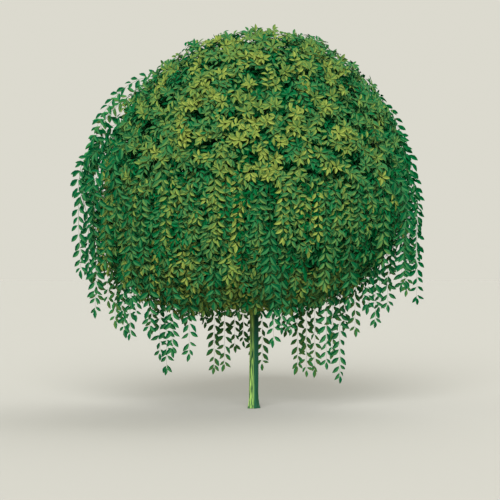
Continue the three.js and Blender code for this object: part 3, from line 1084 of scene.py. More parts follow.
@dataclass(frozen=True)
class Fringe:
    """A long shoot for each tassel down to its tip, and shorter ones between the tassels.

    Attributes:
        habit: How they carry leaves.
        extra: How many shoots hang between the tassels.
        hub: Level distance from the heart where the fringe is longest.
        tip: Height of its tips there.
        slope: How fast the tips rise further out.
        lopsided: How much higher the tips end at the right, beyond the hub.
        lopsided_over: Distance over which that grows.
        slack: How far below the tips' height a tassel's shoot may end there.
        low: How far over the fringe's lowest tips a tassel still fills its place.
        over: How far over a tassel's lower end its shoot ends.
        closer: Level distance of the tassels' shoots to the side and to the front, as shares of the
            tassels' own.
        between: Least and greatest level distance of the extra shoots.
        jitter: How far they are shaken to the sides.
        shallow: How deep their oval is, as a share of its width.
        shorter: Least and greatest height of their tips over the fringe's.
        trunk_gap: Half width of the band across the trunk where extra shoots hang behind it.
        foot_depth: Depth of the shoots' feet.
        inset: How much nearer to the trunk they spring than they hang.
        steps: Steps of growth.
        drifting: Steps in which they drift to their place.
        plumb: The step at which they hang in it.
        pull: Turn towards the ground in a step, at the foot and at the tip.
        leafy_above: How far above the body's lower side leaves may begin.
        bare_outside: Reach, as a share of the body's, from which they begin higher, how fast that grows
            with reach, and how much faster at the sides.
        clear: Reach from which shoots stand clear of the body, and over which that grows.
        before: Reach from which shoots hang before the body, and over which that grows.
        light: Light of a shoot, painted light added at the back, what is taken off for one that hangs
            before the body, the spread, and the most.
        shell: Lowest and highest depth below which no leaf grows.
    """

    habit: Habit
    extra: int = 27
    hub: float = 0.66
    tip: float = 0.30
    slope: float = 0.88
    lopsided: float = 0.18
    lopsided_over: float = 0.2
    slack: float = 0.03
    low: float = 0.30
    over: float = 0.05
    closer: Span = (0.975, 0.90)
    between: Span = (0.45, 1.25)
    jitter: float = 0.008
    shallow: float = 0.80
    shorter: Span = (-0.06, 0.17)
    trunk_gap: float = 0.085
    foot_depth: float = 0.86
    inset: float = 0.10
    steps: int = 50
    drifting: int = 12
    plumb: int = 16
    pull: Span = (0.45, 0.9)
    leafy_above: Span = (-0.02, 0.10)
    bare_outside: Triple = (0.9, 1.0, 1.6)
    clear: Span = (0.98, 0.06)
    before: Span = (0.8, 0.2)
    light: tuple[float, ...] = (0.57, 0.12, 0.06, 0.09, 0.70)
    shell: Span = (0.82, 0.90)

    def tip_height(self, reach: Array) -> Array:
        """Height of the fringe's tips at a level distance: lowest near the trunk, rising outwards."""
        return self.tip + self.slope * np.maximum(0, reach - self.hub)

    def lifted(self, level: Array) -> Array:
        """How much higher the tips end at distances to the right."""
        return self.lopsided * progress(level, self.hub, self.lopsided_over)

    def midway(self, rng: np.random.Generator, taken: Array) -> Array:
        """Places from left to right for the extra shoots, each in the middle of the widest gap left.

        Args:
            rng: The seeded generator, which shakes them a little.
            taken: Places that are taken, measured from the heart.

        Returns:
            The places, in the order in which they were found.
        """
        places = [-self.between[1], *taken, self.between[1]]
        for _ in range(self.extra):
            ordered = np.sort(places)
            widest = np.argmax(np.diff(ordered))
            places.append(ordered[widest : widest + 2].mean())
        return np.array(places[-self.extra :]) + rng.uniform(-self.jitter, self.jitter, self.extra)

    def places(self, grower: Grower, tassels: list[str]) -> tuple[Array, Array]:
        """Where the shoots hang: one at each tassel, then the extra ones on an oval round the trunk.

        Args:
            grower: What they are grown with.
            tassels: CAD nodes of the tassels.

        Returns:
            Spots, (n, 2), and the heights of the tips over them, (n,).
        """
        rng, middle = grower.rng, grower.form.heart[:2]
        corners = np.array([[*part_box(name)] for name in tassels])
        spots = middle + np.array(self.closer) * (corners.mean(axis=1)[:, :2] - middle)
        beside = spots[:, 0] - middle[0]
        tips = corners[:, 0, 2] + self.over
        least_tips = self.tip_height(np.abs(beside)) + self.lifted(beside) - self.slack
        tips = np.where(beside > self.hub, np.maximum(tips, least_tips), tips)
        level = self.midway(rng, beside[tips < self.tip_height(np.abs(beside)) + self.low])
        aside = 2 * ((np.arange(self.extra) * GOLDEN_SHARE) % 1) - 1
        near, far = self.between
        least, most = np.sqrt(np.maximum(0, near**2 - level**2)), np.sqrt(far**2 - level**2)
        inward = np.sign(aside) * (least + np.abs(aside) * (most - least)) * self.shallow
        inward = np.where(np.abs(middle[0] + level) < self.trunk_gap, np.abs(inward), inward)
        lower = self.tip_height(np.hypot(level, inward)) + self.lifted(level)
        lower = lower + rng.uniform(*self.shorter, self.extra)
        extra = middle + np.stack([level, inward], axis=1)
        return np.concatenate([spots, extra]), np.concatenate([tips, lower])

    def hung(self, grower: Grower, spots: Array) -> Lines:
        """Long courses that arch out of the crown, and drift at first until they hang over their spots.

        Args:
            grower: What they are grown with.
            spots: Where they hang, (n, 2).

        Returns:
            The courses.
        """
        form, count = grower.form, len(spots)
        middle = np.concatenate([spots, np.zeros((count, 1))], axis=1)
        out = unit((middle - form.heart) * LEVEL)
        top = form.roof(form.reach(middle), self.foot_depth)
        starts = middle + UP * top[:, None] - out * self.inset
        knots = grower.weep(starts, out, np.full(count, grower.step), self.steps, self.pull)
        eased = np.minimum(1, np.arange(self.steps + 1) / self.drifting)[None, :, None]
        knots[:, :, :2] += (spots - knots[:, self.plumb, :2])[:, None] * eased
        return grower.rooted(starts, knots)

    def grow(self, grower: Grower, tassels: list[str]) -> Shoots:
        """Grows the fringe.

        Args:
            grower: What it is grown with.
            tassels: CAD nodes of the tassels.

        Returns:
            Its shoots, all with the cool tint. Leaves begin higher on those that hang outside the body.
        """
        rng, form = grower.rng, grower.form
        spots, tips = self.places(grower, tassels)
        count = len(tips)
        lines = self.hung(grower, spots)
        place = lines.knots[:, grower.middle_knot]
        reach = form.reach(place)
        beyond = reach / form.radius
        aside = ((place[:, 0] - form.heart[0]) / reach) ** 2
        seen = np.maximum(aside, progress(beyond, *self.clear))
        start, growth, faster = self.bare_outside
        outer = np.maximum(0, beyond - start) * (growth + faster * aside) * seen
        above = rng.uniform(*self.leafy_above, count) + outer
        bare = lines.down_to(form.underside(place[:, :2]) + above)
        before_body = (1 - aside) * progress(beyond, *self.before)
        behind = place[:, 1] > form.heart[1]
        base, back, before, spread, most = self.light
        # Painted light: shoots at the back, in the crown's shade, get lighter tints.
        light = base + back * behind - before * before_body + rng.normal(0, spread, count)
        shell = rng.uniform(*self.shell, count)
        return Shoots(
            self.habit, lines, lines.down_to(tips), bare, shell, np.minimum(light, most), np.ones(count)
        )


@dataclass
class Stems:
    """Builds the stems of shoots.

    Attributes:
        tip: Their radius at the tip.
        sides: Their sides.
        shortest: Least length of a stem outside the wood.
    """

    tip: float = 0.0007
    sides: int = 3
    shortest: float = 0.01

    def build(self, name: str, kinds: list[Shoots], finish: Material, nodes: list[str]) -> None:
        """Builds shoots as thin three-sided stems.

        Each stem runs straight from its root to where it comes out, then in equal segments to its tip.

        Args:
            name: The piece's name.
            kinds: The shoots.
            finish: Their finish.
            nodes: The CAD nodes that they stand for.
        """
        points, faces, base = [], [[], []], 0
        for kind in kinds:
            first = kind.lines.walked[:, 1:2]
            share = np.linspace(0, 1, kind.habit.segments + 1)[None]
            last = np.maximum(kind.lengths[:, None], first + self.shortest)
            spots = first + (last - first) * share
            paths = kind.lines.at(np.concatenate([np.zeros_like(first), spots], axis=1))
            count, rings = paths.shape[:2]
            radii = np.broadcast_to(np.linspace(kind.habit.foot, self.tip, rings), (count, rings))
            points.append(tube_grids(paths, radii, self.sides).reshape(-1, 3))
            for group, made in zip(faces, tube_faces(count, rings, self.sides)):
                group.append(made + base)
            base += len(points[-1])
        piece = make_piece(name, np.concatenate(points), [np.concatenate(f) for f in faces], False)
        dress(piece, finish, nodes)


# Leaves --------------------


@dataclass(frozen=True)
class Blade:
    """A leaf as two half blades folded along the midrib.

    Attributes:
        width: Its width as a share of its length.
        stations: Shares of the length where the edge is measured.
        edge: Half widths there, as shares of the half width.
        stalk: Length of the bare stalk, as a share of the leaf's length.
        fold: Rise of the edges, as a share of the half width.
        curl: How far the tip bends down, as a share of the length.
    """

    width: float = 0.44
    stations: Triple = (0.22, 0.5, 0.78)
    edge: Triple = (0.66, 1.0, 0.64)
    stalk: float = 0.10
    fold: float = 0.48
    curl: float = 0.15

    def half(self, hand: float) -> tuple[Array, Array]:
        """Points and quads of half a leaf one unit long, along x, with its upper side towards z.

        Args:
            hand: One for the half at y over nought, minus one for the other.

        Returns:
            Six points: foot, middle and tip of the midrib, then the edge. Two quads.
        """
        stations, edge = np.array(self.stations), np.array(self.edge) * self.width / 2
        midrib = np.array([[0, 0, 0], [0.5, 0, 0], [1, 0, 0]], float)
        points = np.concatenate([midrib, np.stack([stations, hand * edge, edge * self.fold], axis=1)])
        points[:, 0] += self.stalk
        points[:, 2] -= self.curl * points[:, 0] ** 2
        quads = np.array([[0, 3, 4, 1], [1, 4, 5, 2]])
        return points, quads[:, ::-1] if hand > 0 else quads


@dataclass
class Foliage:
    """Sets leaves on shoots and builds them as joined pieces, one tint to a piece.

    Attributes:
        form: The crown's form.
        rng: The seeded generator.
        blade: The leaf's shape.
        most_halves: Most half leaves in a piece.
        painted_lit_halves: Tint, as painted light, of the half that looks up more, for each tint dealt, in
            Tint's order.
        deeper: Tint of the other half, as painted shade.
        steps: Least light of a shoot for each tint from the brightest to the deepest but one.
        older: Share of a shoot's leaves that take the next deeper tint.
        tip_gap: Distance of the last pair from the tip and how far pairs stray, as shares of the spacing.
        stagger: How far a pair's leaves stand off their middle, as a share of the spacing.
        youngest: Length of the leaves at a tip, as a share of full length.
        full_grown: How many pairs from the tip leaves have their full length.
        twist: How far pairs turn about their shoot at random, in radians.
        outward: How much leaves of pairs turn out of the crown.
        pair_shake: Spread of a pair's angle in degrees, and of how its leaves point and face.
        pair_sizes: Least and greatest length, as a share of the habit's.
        just_before: How far before a tip its shoot's heading is read.
        tip_shake: Spread of how leaves at tips point and face.
        tip_sizes: Their least and greatest length.
        star_shake: Spread of how a star faces, of its leaves' angles, and of how they face.
        star_sizes: Their least and greatest length.
        star_droop: How strongly they turn to the ground.
        leaves: What has been set: feet, axes, faces, lengths, breadths and tint numbers.
    """

    form: CrownForm
    rng: np.random.Generator
    blade: Blade = Blade()
    most_halves: int = 46000
    painted_lit_halves: tuple[Tint, ...] = (
        Tint.LIME, Tint.FRESH, Tint.SUMMER, Tint.MIDDLE, Tint.DEEP, Tint.SHADE, Tint.MIDDLE, Tint.SUMMER
    )
    deeper: tuple[Tint, ...] = (
        Tint.FRESH, Tint.SUMMER, Tint.MIDDLE, Tint.DEEP, Tint.SHADE, Tint.SHADE, Tint.COOL, Tint.PAINTED_LIGHT_BACK
    )
    steps: tuple[float, ...] = (0.92, 0.72, 0.52, 0.34, 0.16)
    older: float = 0.12
    tip_gap: Span = (0.3, 0.1)
    stagger: float = 0.06
    youngest: float = 0.76
    full_grown: int = 3
    twist: float = 0.25
    outward: float = 0.35
    pair_shake: Triple = (9, 0.09, 0.30)
    pair_sizes: Span = (0.80, 1.14)
    just_before: float = 0.013
    tip_shake: Span = (0.12, 0.22)
    tip_sizes: Span = (0.74, 1.0)
    star_shake: Triple = (0.22, 0.16, 0.14)
    star_sizes: Span = (0.74, 1.06)
    star_droop: float = 0.05
    leaves: list[tuple[Array, ...]] = field(default_factory=list)

    def tints(self, shoots: Shoots) -> Array:
        """Deals tint numbers by painted light, and COOL, or PAINTED_LIGHT_BACK at the back, to some
        shoots.
        """
        dealt = (shoots.light[:, None] < np.array(self.steps)).sum(1)
        tips = shoots.lines.at(shoots.lengths[:, None])[:, 0]
        kinds = list(Tint)
        cool = np.where(tips[:, 1] > self.form.heart[1], kinds.index(Tint.PAINTED_LIGHT_BACK), kinds.index(Tint.COOL))
        middling = (dealt > kinds.index(Tint.FRESH)) & (dealt < kinds.index(Tint.SHADE))
        swapped = middling & (self.rng.uniform(0, 1, len(dealt)) < shoots.cool)
        return np.where(swapped, cool, dealt)

    def add(
        self, kept: Array, foot: Array, axis: Array, face: Array, size: Array, breadth: float, tint: Array
    ) -> None:
        """Adds the kept leaves.

        Args:
            kept: Which of the leaves to add.
            foot: Their feet.
            axis: The way that they point.
            face: The way that their upper sides look.
            size: Their lengths.
            breadth: Their breadth, as a share of the blade's.
            tint: Their tint numbers.
        """
        shape = kept.shape
        axis = unit(axis)
        whole = (np.broadcast_to(foot, (*shape, 3)), axis, across(face, axis))
        deeper = (self.rng.uniform(0, 1, shape) < self.older) & (tint < len(self.steps))
        single = (np.broadcast_to(size, shape), np.full(shape, breadth), tint + deeper)
        self.leaves.append(tuple(a[kept] for a in (*whole, *single)))

    def fronted(self, facing: Array, share: float) -> Array:
        """Outward directions, turned by a share to the crown's front or back, whichever is nearer."""
        side = np.where(facing[..., 1:2] > 0, 1.0, -1.0)
        return unit(facing + share * side * BACK)

    def clothe(self, shoots: Shoots) -> None:
        """Sets pairs of leaves along shoots, and a leaf or a star of leaves at each tip."""
        tint = self.tints(shoots)[:, None]
        self.pairs(shoots, tint)
        if shoots.habit.star:
            self.stars(shoots, tint)
        else:
            self.tips(shoots, tint)

    def pairs(self, shoots: Shoots, tint: Array) -> None:
        """Sets pairs along shoots, counted from the tip.

        The pairs of a shoot lie near one plane that faces out of the crown. Each is turned a little about
        the shoot: side * cosine + front * sine of the twist.

        Args:
            shoots: The shoots.
            tint: Their tint numbers, (shoots, 1).
        """
        rng, habit = self.rng, shoots.habit
        count = len(shoots.lengths)
        room = shoots.lengths - shoots.bare
        number = np.arange(max(1, int(room.max() / habit.spacing) + 1))[None]
        most = number.shape[1]
        gap, stray = self.tip_gap
        steps = number + gap + rng.uniform(-stray, stray, (count, most))
        where = shoots.lengths[:, None] - steps * habit.spacing
        leafy = where > shoots.bare[:, None]
        heading = shoots.lines.heading(where)
        facing = self.fronted(self.form.facing(shoots.lines.at(where)), habit.fronting)
        side = across(np.cross(heading, facing), heading)
        front = np.cross(side, heading)
        twist = rng.normal(0, habit.roll, (count, 1)) + rng.normal(0, self.twist, (count, most))
        turned, upper = swung(side, front, twist), swung(front, -side, twist)
        grown = np.minimum(1, (number + 0.5) / self.full_grown)
        young = self.youngest + (1 - self.youngest) * grown
        angles, points, faces = self.pair_shake
        for hand in (-1.0, 1.0):
            foot = shoots.lines.at(where + hand * self.stagger * habit.spacing)
            kept = leafy & (self.form.depth(foot) > shoots.inner[:, None])
            spread = np.radians(rng.normal(habit.spread, angles, where.shape))
            axis = swung(heading, hand * turned, spread)
            axis = axis - habit.droop * UP + rng.normal(0, points, axis.shape)
            face = upper + self.outward * facing + rng.normal(0, faces, axis.shape)
            size = habit.leaf * young * rng.uniform(*self.pair_sizes, where.shape)
            self.add(kept, foot, axis, face, size, habit.breadth, tint)

    def tips(self, shoots: Shoots, tint: Array) -> None:
        """Sets one leaf at each tip, in line with its shoot just before the tip."""
        rng, habit = self.rng, shoots.habit
        end = shoots.lengths[:, None]
        foot, heading = shoots.lines.at(end), shoots.lines.heading(end - self.just_before)
        points, faces = self.tip_shake
        axis = heading + rng.normal(0, points, foot.shape)
        face = self.fronted(self.form.facing(foot), habit.fronting) + rng.normal(0, faces, foot.shape)
        size = habit.leaf * rng.uniform(*self.tip_sizes, end.shape)
        self.add(np.ones(end.shape, bool), foot, axis, face, size, habit.breadth, tint)

    def stars(self, shoots: Shoots, tint: Array) -> None:
        """Sets a star at each tip: leaves spread over the dome round the way that it faces."""
        rng, habit = self.rng, shoots.habit
        shape = (len(shoots.lengths), habit.star)
        end = shoots.lengths[:, None]
        foot = shoots.lines.at(end)
        stars, angles, faces = self.star_shake
        facing = self.fronted(self.form.facing(foot), habit.fronting)
        out = unit(facing + rng.normal(0, stars, foot.shape))
        slant = np.array([0.3, 0.5, 0.81])
        side = across(np.broadcast_to(slant, out.shape), out)
        other = np.cross(out, side)
        angle = np.arange(habit.star)[None] / habit.star * TURN + rng.uniform(0, TURN, (shape[0], 1))
        spoke = swung(side, other, angle + rng.normal(0, angles, shape))
        lean = rng.normal(habit.lean, angles, shape)
        axis = swung(out, spoke, lean) - self.star_droop * UP
        face = swung(-spoke, out, lean) + rng.normal(0, faces, (*shape, 3))
        size = habit.leaf * rng.uniform(*self.star_sizes, shape)
        self.add(np.ones(shape, bool), foot, axis, face, size, habit.breadth, tint)

    def build(self, nodes: list[str]) -> None:
        """Builds every leaf as joined pieces, each of one tint.

        Each half leaf is its template turned to the leaf's own axes and scaled: foot + length * (x axis +
        y side + z face). The leaf is folded, so the half on the side that points down looks up more. It
        takes the brighter tint as painted light, and the other half takes the deeper one as painted shade.

        Args:
            nodes: The CAD nodes that the leaves stand for.
        """
        foot, axis, face, size, breadth, tint = (np.concatenate(a) for a in zip(*self.leaves))
        side = np.cross(face, axis) * breadth[:, None]
        kinds = list(Tint)
        lit_half = np.array([kinds.index(kind) for kind in self.painted_lit_halves])[tint]
        deep = np.array([kinds.index(kind) for kind in self.deeper])[tint]
        halves = [[] for _ in kinds]
        for hand in (-1.0, 1.0):
            points, quads = self.blade.half(hand)
            ways = zip(points.T, (axis, side, face))
            offset = sum(part[None, :, None] * way[:, None] for part, way in ways)
            placed = foot[:, None] + offset * size[:, None, None]
            # Painted light on the half that looks up more, painted shade on the other.
            dealt = np.where(hand * side[:, 2] < 0, lit_half, deep)
            for number in range(len(kinds)):
                chosen = placed[dealt == number]
                halves[number].append((chosen, np.broadcast_to(quads, (len(chosen), *quads.shape))))
        for kind, made in zip(kinds, halves):
            placed, quads = (np.concatenate(a) for a in zip(*made))
            finish = PlainFinish(f"leaf_{kind.name.lower()}", kind.value).material()
            parts = math.ceil(len(placed) / self.most_halves)
            for part, group in enumerate(np.array_split(np.arange(len(placed)), parts), 1):
                numbers = quads[group] + (np.arange(len(group)) * placed.shape[1])[:, None, None]
                name = f"leaves_{kind.name.lower()}_{part}"
                piece = make_piece(name, placed[group], [numbers.reshape(-1, 4)], False)
                dress(piece, finish, nodes)
        LOG.info("%d leaves in all", len(foot))


# Trunk and boughs with the bark's relief --------------------


@dataclass
class BarkSurface:
    """Relief for a limb's surface, from waves that close round the limb.

    Attributes:
        rng: The seeded generator.
        waves: How many waves are added up.
    """

    rng: np.random.Generator
    waves: int = 26

    def ridges(self, turn: Array, height: Array, around: tuple[int, int], upright: float) -> Array:
        """Upright ridges: one less the size of a sum of slanting waves.

        Args:
            turn: Angle round the limb.
            height: Distance along it.
            around: Fewest and most waves round the limb.
            upright: Largest slant of a wave, in radians for each unit of height.

        Returns:
            Relief from about minus one in the fissures to one on the ridges.
        """
        total = np.zeros(np.broadcast(turn, height).shape)
        for _ in range(self.waves):
            number = self.rng.integers(*around)
            rate = self.rng.uniform(-upright, upright)
            total = total + np.cos(number * turn + rate * height + self.rng.uniform(0, TURN))
        return 1 - np.abs(total) * 2 / math.sqrt(self.waves)

    def spots(self, turn: Array, height: Array, count: int, girth: float, size: Span) -> Array:
        """Raised diamond marks spread at random: each falls off with the sum of both distances.

        Args:
            turn: Angle round the limb.
            height: Distance along it.
            count: How many marks.
            girth: The limb's radius, which turns an angle into a distance.
            size: Half width and half height of a mark.

        Returns:
            Nought to one.
        """
        total = np.zeros(np.broadcast(turn, height).shape)
        for _ in range(count):
            middle, level = self.rng.uniform(0, TURN), self.rng.uniform(height.min(), height.max())
            beside = np.abs(np.angle(np.exp(1j * (turn - middle)))) * girth / size[0]
            above = np.abs(height - level) / size[1]
            total = np.maximum(total, np.clip(1 - beside - above, 0, 1))
        return total


@dataclass
class Trunk:
    """The straight stem: root flare, tapering shaft and swollen graft head.

    Attributes:
        rng: The seeded generator.
        rows: Rings of the mesh.
        columns: Points in a ring.
        shaft: Radius of the shaft at the ground.
        taper: Share of the radius lost up to the top.
        flare: Growth of the radius at the ground.
        flare_height: Height over which the flare dies away.
        root_lobes: Number of roots that swell the foot.
        lobe_depth: How far they swell it, as a share of the radius.
        lobe_height: How far up they go, as a multiple of the flare's height.
        head_below_top: How far below the top the graft head is thickest.
        head_swell: Growth of the radius at the graft head.
        head_length: Half length of the swelling.
        dome: Height of the dome that closes the head, as a share of the distance up to the top.
        crowding: Share of the height that widens the spacing of the rings, and the power by which it
            does so only near the top.
        sway: How far the shaft strays from a straight line.
        sway_waves: How many waves of it the height holds.
        relief: Depth of the bark's fissures.
        broad: Fewest and most waves of broad fissures round it, and their slant in radians per metre.
        fine: The same for fine ones.
        broad_share: Share of the relief that the broad ones make up.
        marks: How many raised marks it has.
        mark: Their height.
        mark_size: Their half width and half height.
        fading: How fast all relief dies away in the dome.
    """

    rng: np.random.Generator
    rows: int = 300
    columns: int = 88
    shaft: float = 0.0345
    taper: float = 0.10
    flare: float = 0.0125
    flare_height: float = 0.042
    root_lobes: int = 5
    lobe_depth: float = 0.12
    lobe_height: float = 1.5
    head_below_top: float = 0.060
    head_swell: float = 0.017
    head_length: float = 0.042
    dome: float = 1.02
    crowding: Span = (0.015, 8)
    sway: float = 0.005
    sway_waves: float = 0.65
    relief: float = 0.0016
    broad: tuple[int, int, float] = (5, 12, 9.0)
    fine: tuple[int, int, float] = (12, 30, 16.0)
    broad_share: float = 0.65
    marks: int = 130
    mark: float = 0.0016
    mark_size: Span = (0.0035, 0.007)
    fading: float = 3.0

    def surface(self) -> Array:
        """The bark as a grid of rings, which closes in a dome at the top.

        Returns:
            Points, (rows, columns, 3).
        """
        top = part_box("trunk")[1][2]
        share = np.linspace(0, 1, self.rows)
        widened, power = self.crowding
        height = (top * ((1 - widened) * share + widened * share**power))[:, None]
        turn = (np.arange(self.columns) / self.columns * TURN)[None]
        head = top - self.head_below_top
        radius = self.shaft * (1 - self.taper * height / top)
        radius = radius + self.flare * np.exp(-height / self.flare_height)
        radius = radius + self.head_swell * np.exp(-(((height - head) / self.head_length) ** 2))
        curl = progress(height, head, self.head_below_top * self.dome)
        radius = radius * np.sqrt(1 - curl**2)
        lobes = self.lobe_depth * np.exp(-height / (self.lobe_height * self.flare_height))
        radius = radius * (1 + lobes * np.cos(self.root_lobes * turn))
        bark = BarkSurface(self.rng)
        broad = bark.ridges(turn, height, self.broad[:2], self.broad[2])
        fine = bark.ridges(turn, height, self.fine[:2], self.fine[2])
        marks = bark.spots(turn, height, self.marks, self.shaft, self.mark_size)
        fissures = self.broad_share * broad + (1 - self.broad_share) * fine
        relief = self.relief * fissures + self.mark * marks
        radius = radius + relief * np.minimum(1, (1 - curl) * self.fading)
        stray = self.sway * np.sin(self.sway_waves * TURN * height / top)
        x = stray + radius * np.cos(turn)
        return np.stack([x, radius * np.sin(turn), np.broadcast_to(height, radius.shape)], axis=-1)

    def build(self, finish: Material) -> None:
        """Builds the trunk's mesh, with its flat cut at the ground."""
        grid = self.surface()
        piece = make_piece("trunk_bark", grid, tube_faces(1, self.rows, self.columns), True)
        dress(piece, finish, ["trunk"])


@dataclass
class Boughs:
    """The boughs' bark, one mesh for each bough, from the graft head to deep in the crown.

    Attributes:
        skeleton: Holds their courses.
        rng: The seeded generator.
        rings: Rings of each mesh.
        sides: Points in a ring.
        relief: Depth of the fissures.
        waves: How many waves are added up for them.
        around: Fewest and most waves round a bough.
        slant: Their slant, in radians over its length.
    """

    skeleton: Skeleton
    rng: np.random.Generator
    rings: int = 90
    sides: int = 28
    relief: float = 0.0012
    waves: int = 18
    around: tuple[int, int] = (3, 9)
    slant: float = 14.0

    def build(self, finish: Material) -> None:
        """Builds one mesh for each bough, with ridges that follow it."""
        wood = self.skeleton.orders[0]
        lines = Lines(wood.lines)
        share = np.linspace(0, 1, self.rings)
        paths = lines.at(lines.walked[:, -1:] * share)
        knots = np.linspace(0, 1, wood.radii.shape[1])
        radii = np.stack([np.interp(share, knots, r) for r in wood.radii])
        grids = tube_grids(paths, radii, self.sides)
        turn = (np.arange(self.sides) / self.sides * TURN)[None]
        for number, name in enumerate(self.skeleton.bough_names):
            bark = BarkSurface(self.rng, self.waves)
            relief = self.relief * bark.ridges(turn, share[:, None], self.around, self.slant)
            grid = grids[number] + unit(grids[number] - paths[number][:, None]) * relief[..., None]
            faces = tube_faces(1, self.rings, self.sides)
            piece = make_piece(f"bark_{name}", grid, faces, True)
            dress(piece, finish, [name])


# Studio --------------------


@dataclass
class Studio:
    """A wide pale floor, a pale sky of the same brightness, a soft key and fill light and the camera.

    Attributes:
        pale: Colour of floor and background as seen.
        key_strength: Strength of the key light.
        key_from: Direction that the key light comes from.
        key_softness: Angular width of the key light, in degrees.
        fill_strength: Strength of the fill light behind the tree.
        fill_from: Direction that the fill light comes from.
        fill_softness: Angular width of the fill light, in degrees.
        frame_width: Width of the view at the trunk.
        lens: Focal length, in millimetres.
        sensor: Width of the sensor, in millimetres.
        eye: Height of the camera.
        aside: How far the camera stands to the side of the trunk.
        far: How far the camera sees.
        floor_radius: Radius of the floor.
        floor_corners: Corners of the floor.
        floor_depth: How far it lies below the tree's foot.
    """

    pale: Triple = (0.714, 0.700, 0.622)
    key_strength: float = 6.1
    key_from: Triple = (-0.05, -1.0, 0.50)
    key_softness: float = 36.0
    fill_strength: float = 3.2
    fill_from: Triple = (0.6, 1.0, 0.7)
    fill_softness: float = 80.0
    frame_width: float = 3.8
    lens: float = 135.0
    sensor: float = 36.0
    eye: float = 1.2008
    aside: float = -0.0266
    far: float = 200.0
    floor_radius: float = 60.0
    floor_corners: int = 96
    floor_depth: float = 0.0006

    def floor(self) -> None:
        """A floor disc whose shade, under sky and key light together, equals the background's."""
        turn = np.arange(self.floor_corners) / self.floor_corners * TURN
        rim = outwards(turn) * self.floor_radius - UP * self.floor_depth
        piece = make_piece("floor", rim, [np.arange(self.floor_corners)[None]], False)
        pairs = ((self.key_strength, self.key_from), (self.fill_strength, self.fill_from))
        lamps = sum(strength * unit(np.array(source))[2] / math.pi for strength, source in pairs)
        shade = [c / (c + lamps) for c in self.pale]
        finish = PlainFinish("pale_floor", tuple(shade), roughness=1.0, specular=0.0)
        piece.data.materials.append(finish.material())

    def lamp(self, name: str, strength: float, source: Triple, softness: float) -> None:
        """A distant light.

        Args:
            name: Its name.
            strength: Its strength.
            source: The direction that it comes from.
            softness: Its angular width, in degrees.
        """
        light = bpy.data.lights.new(name, "SUN")
        light.energy = strength
        light.angle = math.radians(softness)
        lamp = bpy.data.objects.new(name, light)
        lamp.rotation_mode = "QUATERNION"
        lamp.rotation_quaternion = Vector(source).to_track_quat("Z", "Y")
        bpy.context.scene.collection.objects.link(lamp)

    def lights(self) -> None:
        """The sky, the key light and the fill light."""
        world = bpy.data.worlds.new("pale_sky")
        world.use_nodes = True
        sky = world.node_tree.nodes["Background"]
        sky.inputs["Color"].default_value = (*self.pale, 1)
        sky.inputs["Strength"].default_value = 1.0
        bpy.context.scene.world = world
        self.lamp("key", self.key_strength, self.key_from, self.key_softness)
        self.lamp("fill", self.fill_strength, self.fill_from, self.fill_softness)

    def camera(self) -> None:
        """A level camera far enough off for its long lens to take in the frame's width."""
        data = bpy.data.cameras.new("camera")
        data.lens = self.lens
        data.sensor_width = self.sensor
        data.clip_end = self.far
        camera = bpy.data.objects.new("camera", data)
        camera.location = (self.aside, -self.frame_width * self.lens / self.sensor, self.eye)
        camera.rotation_euler = (math.pi / 2, 0, 0)
        bpy.context.scene.collection.objects.link(camera)
        bpy.context.scene.camera = camera

    def build(self) -> None:
        """Sets up floor, lights and camera."""
        self.floor()
        self.lights()
        self.camera()
        bpy.context.scene.view_settings.view_transform = "Standard"


# The tree --------------------


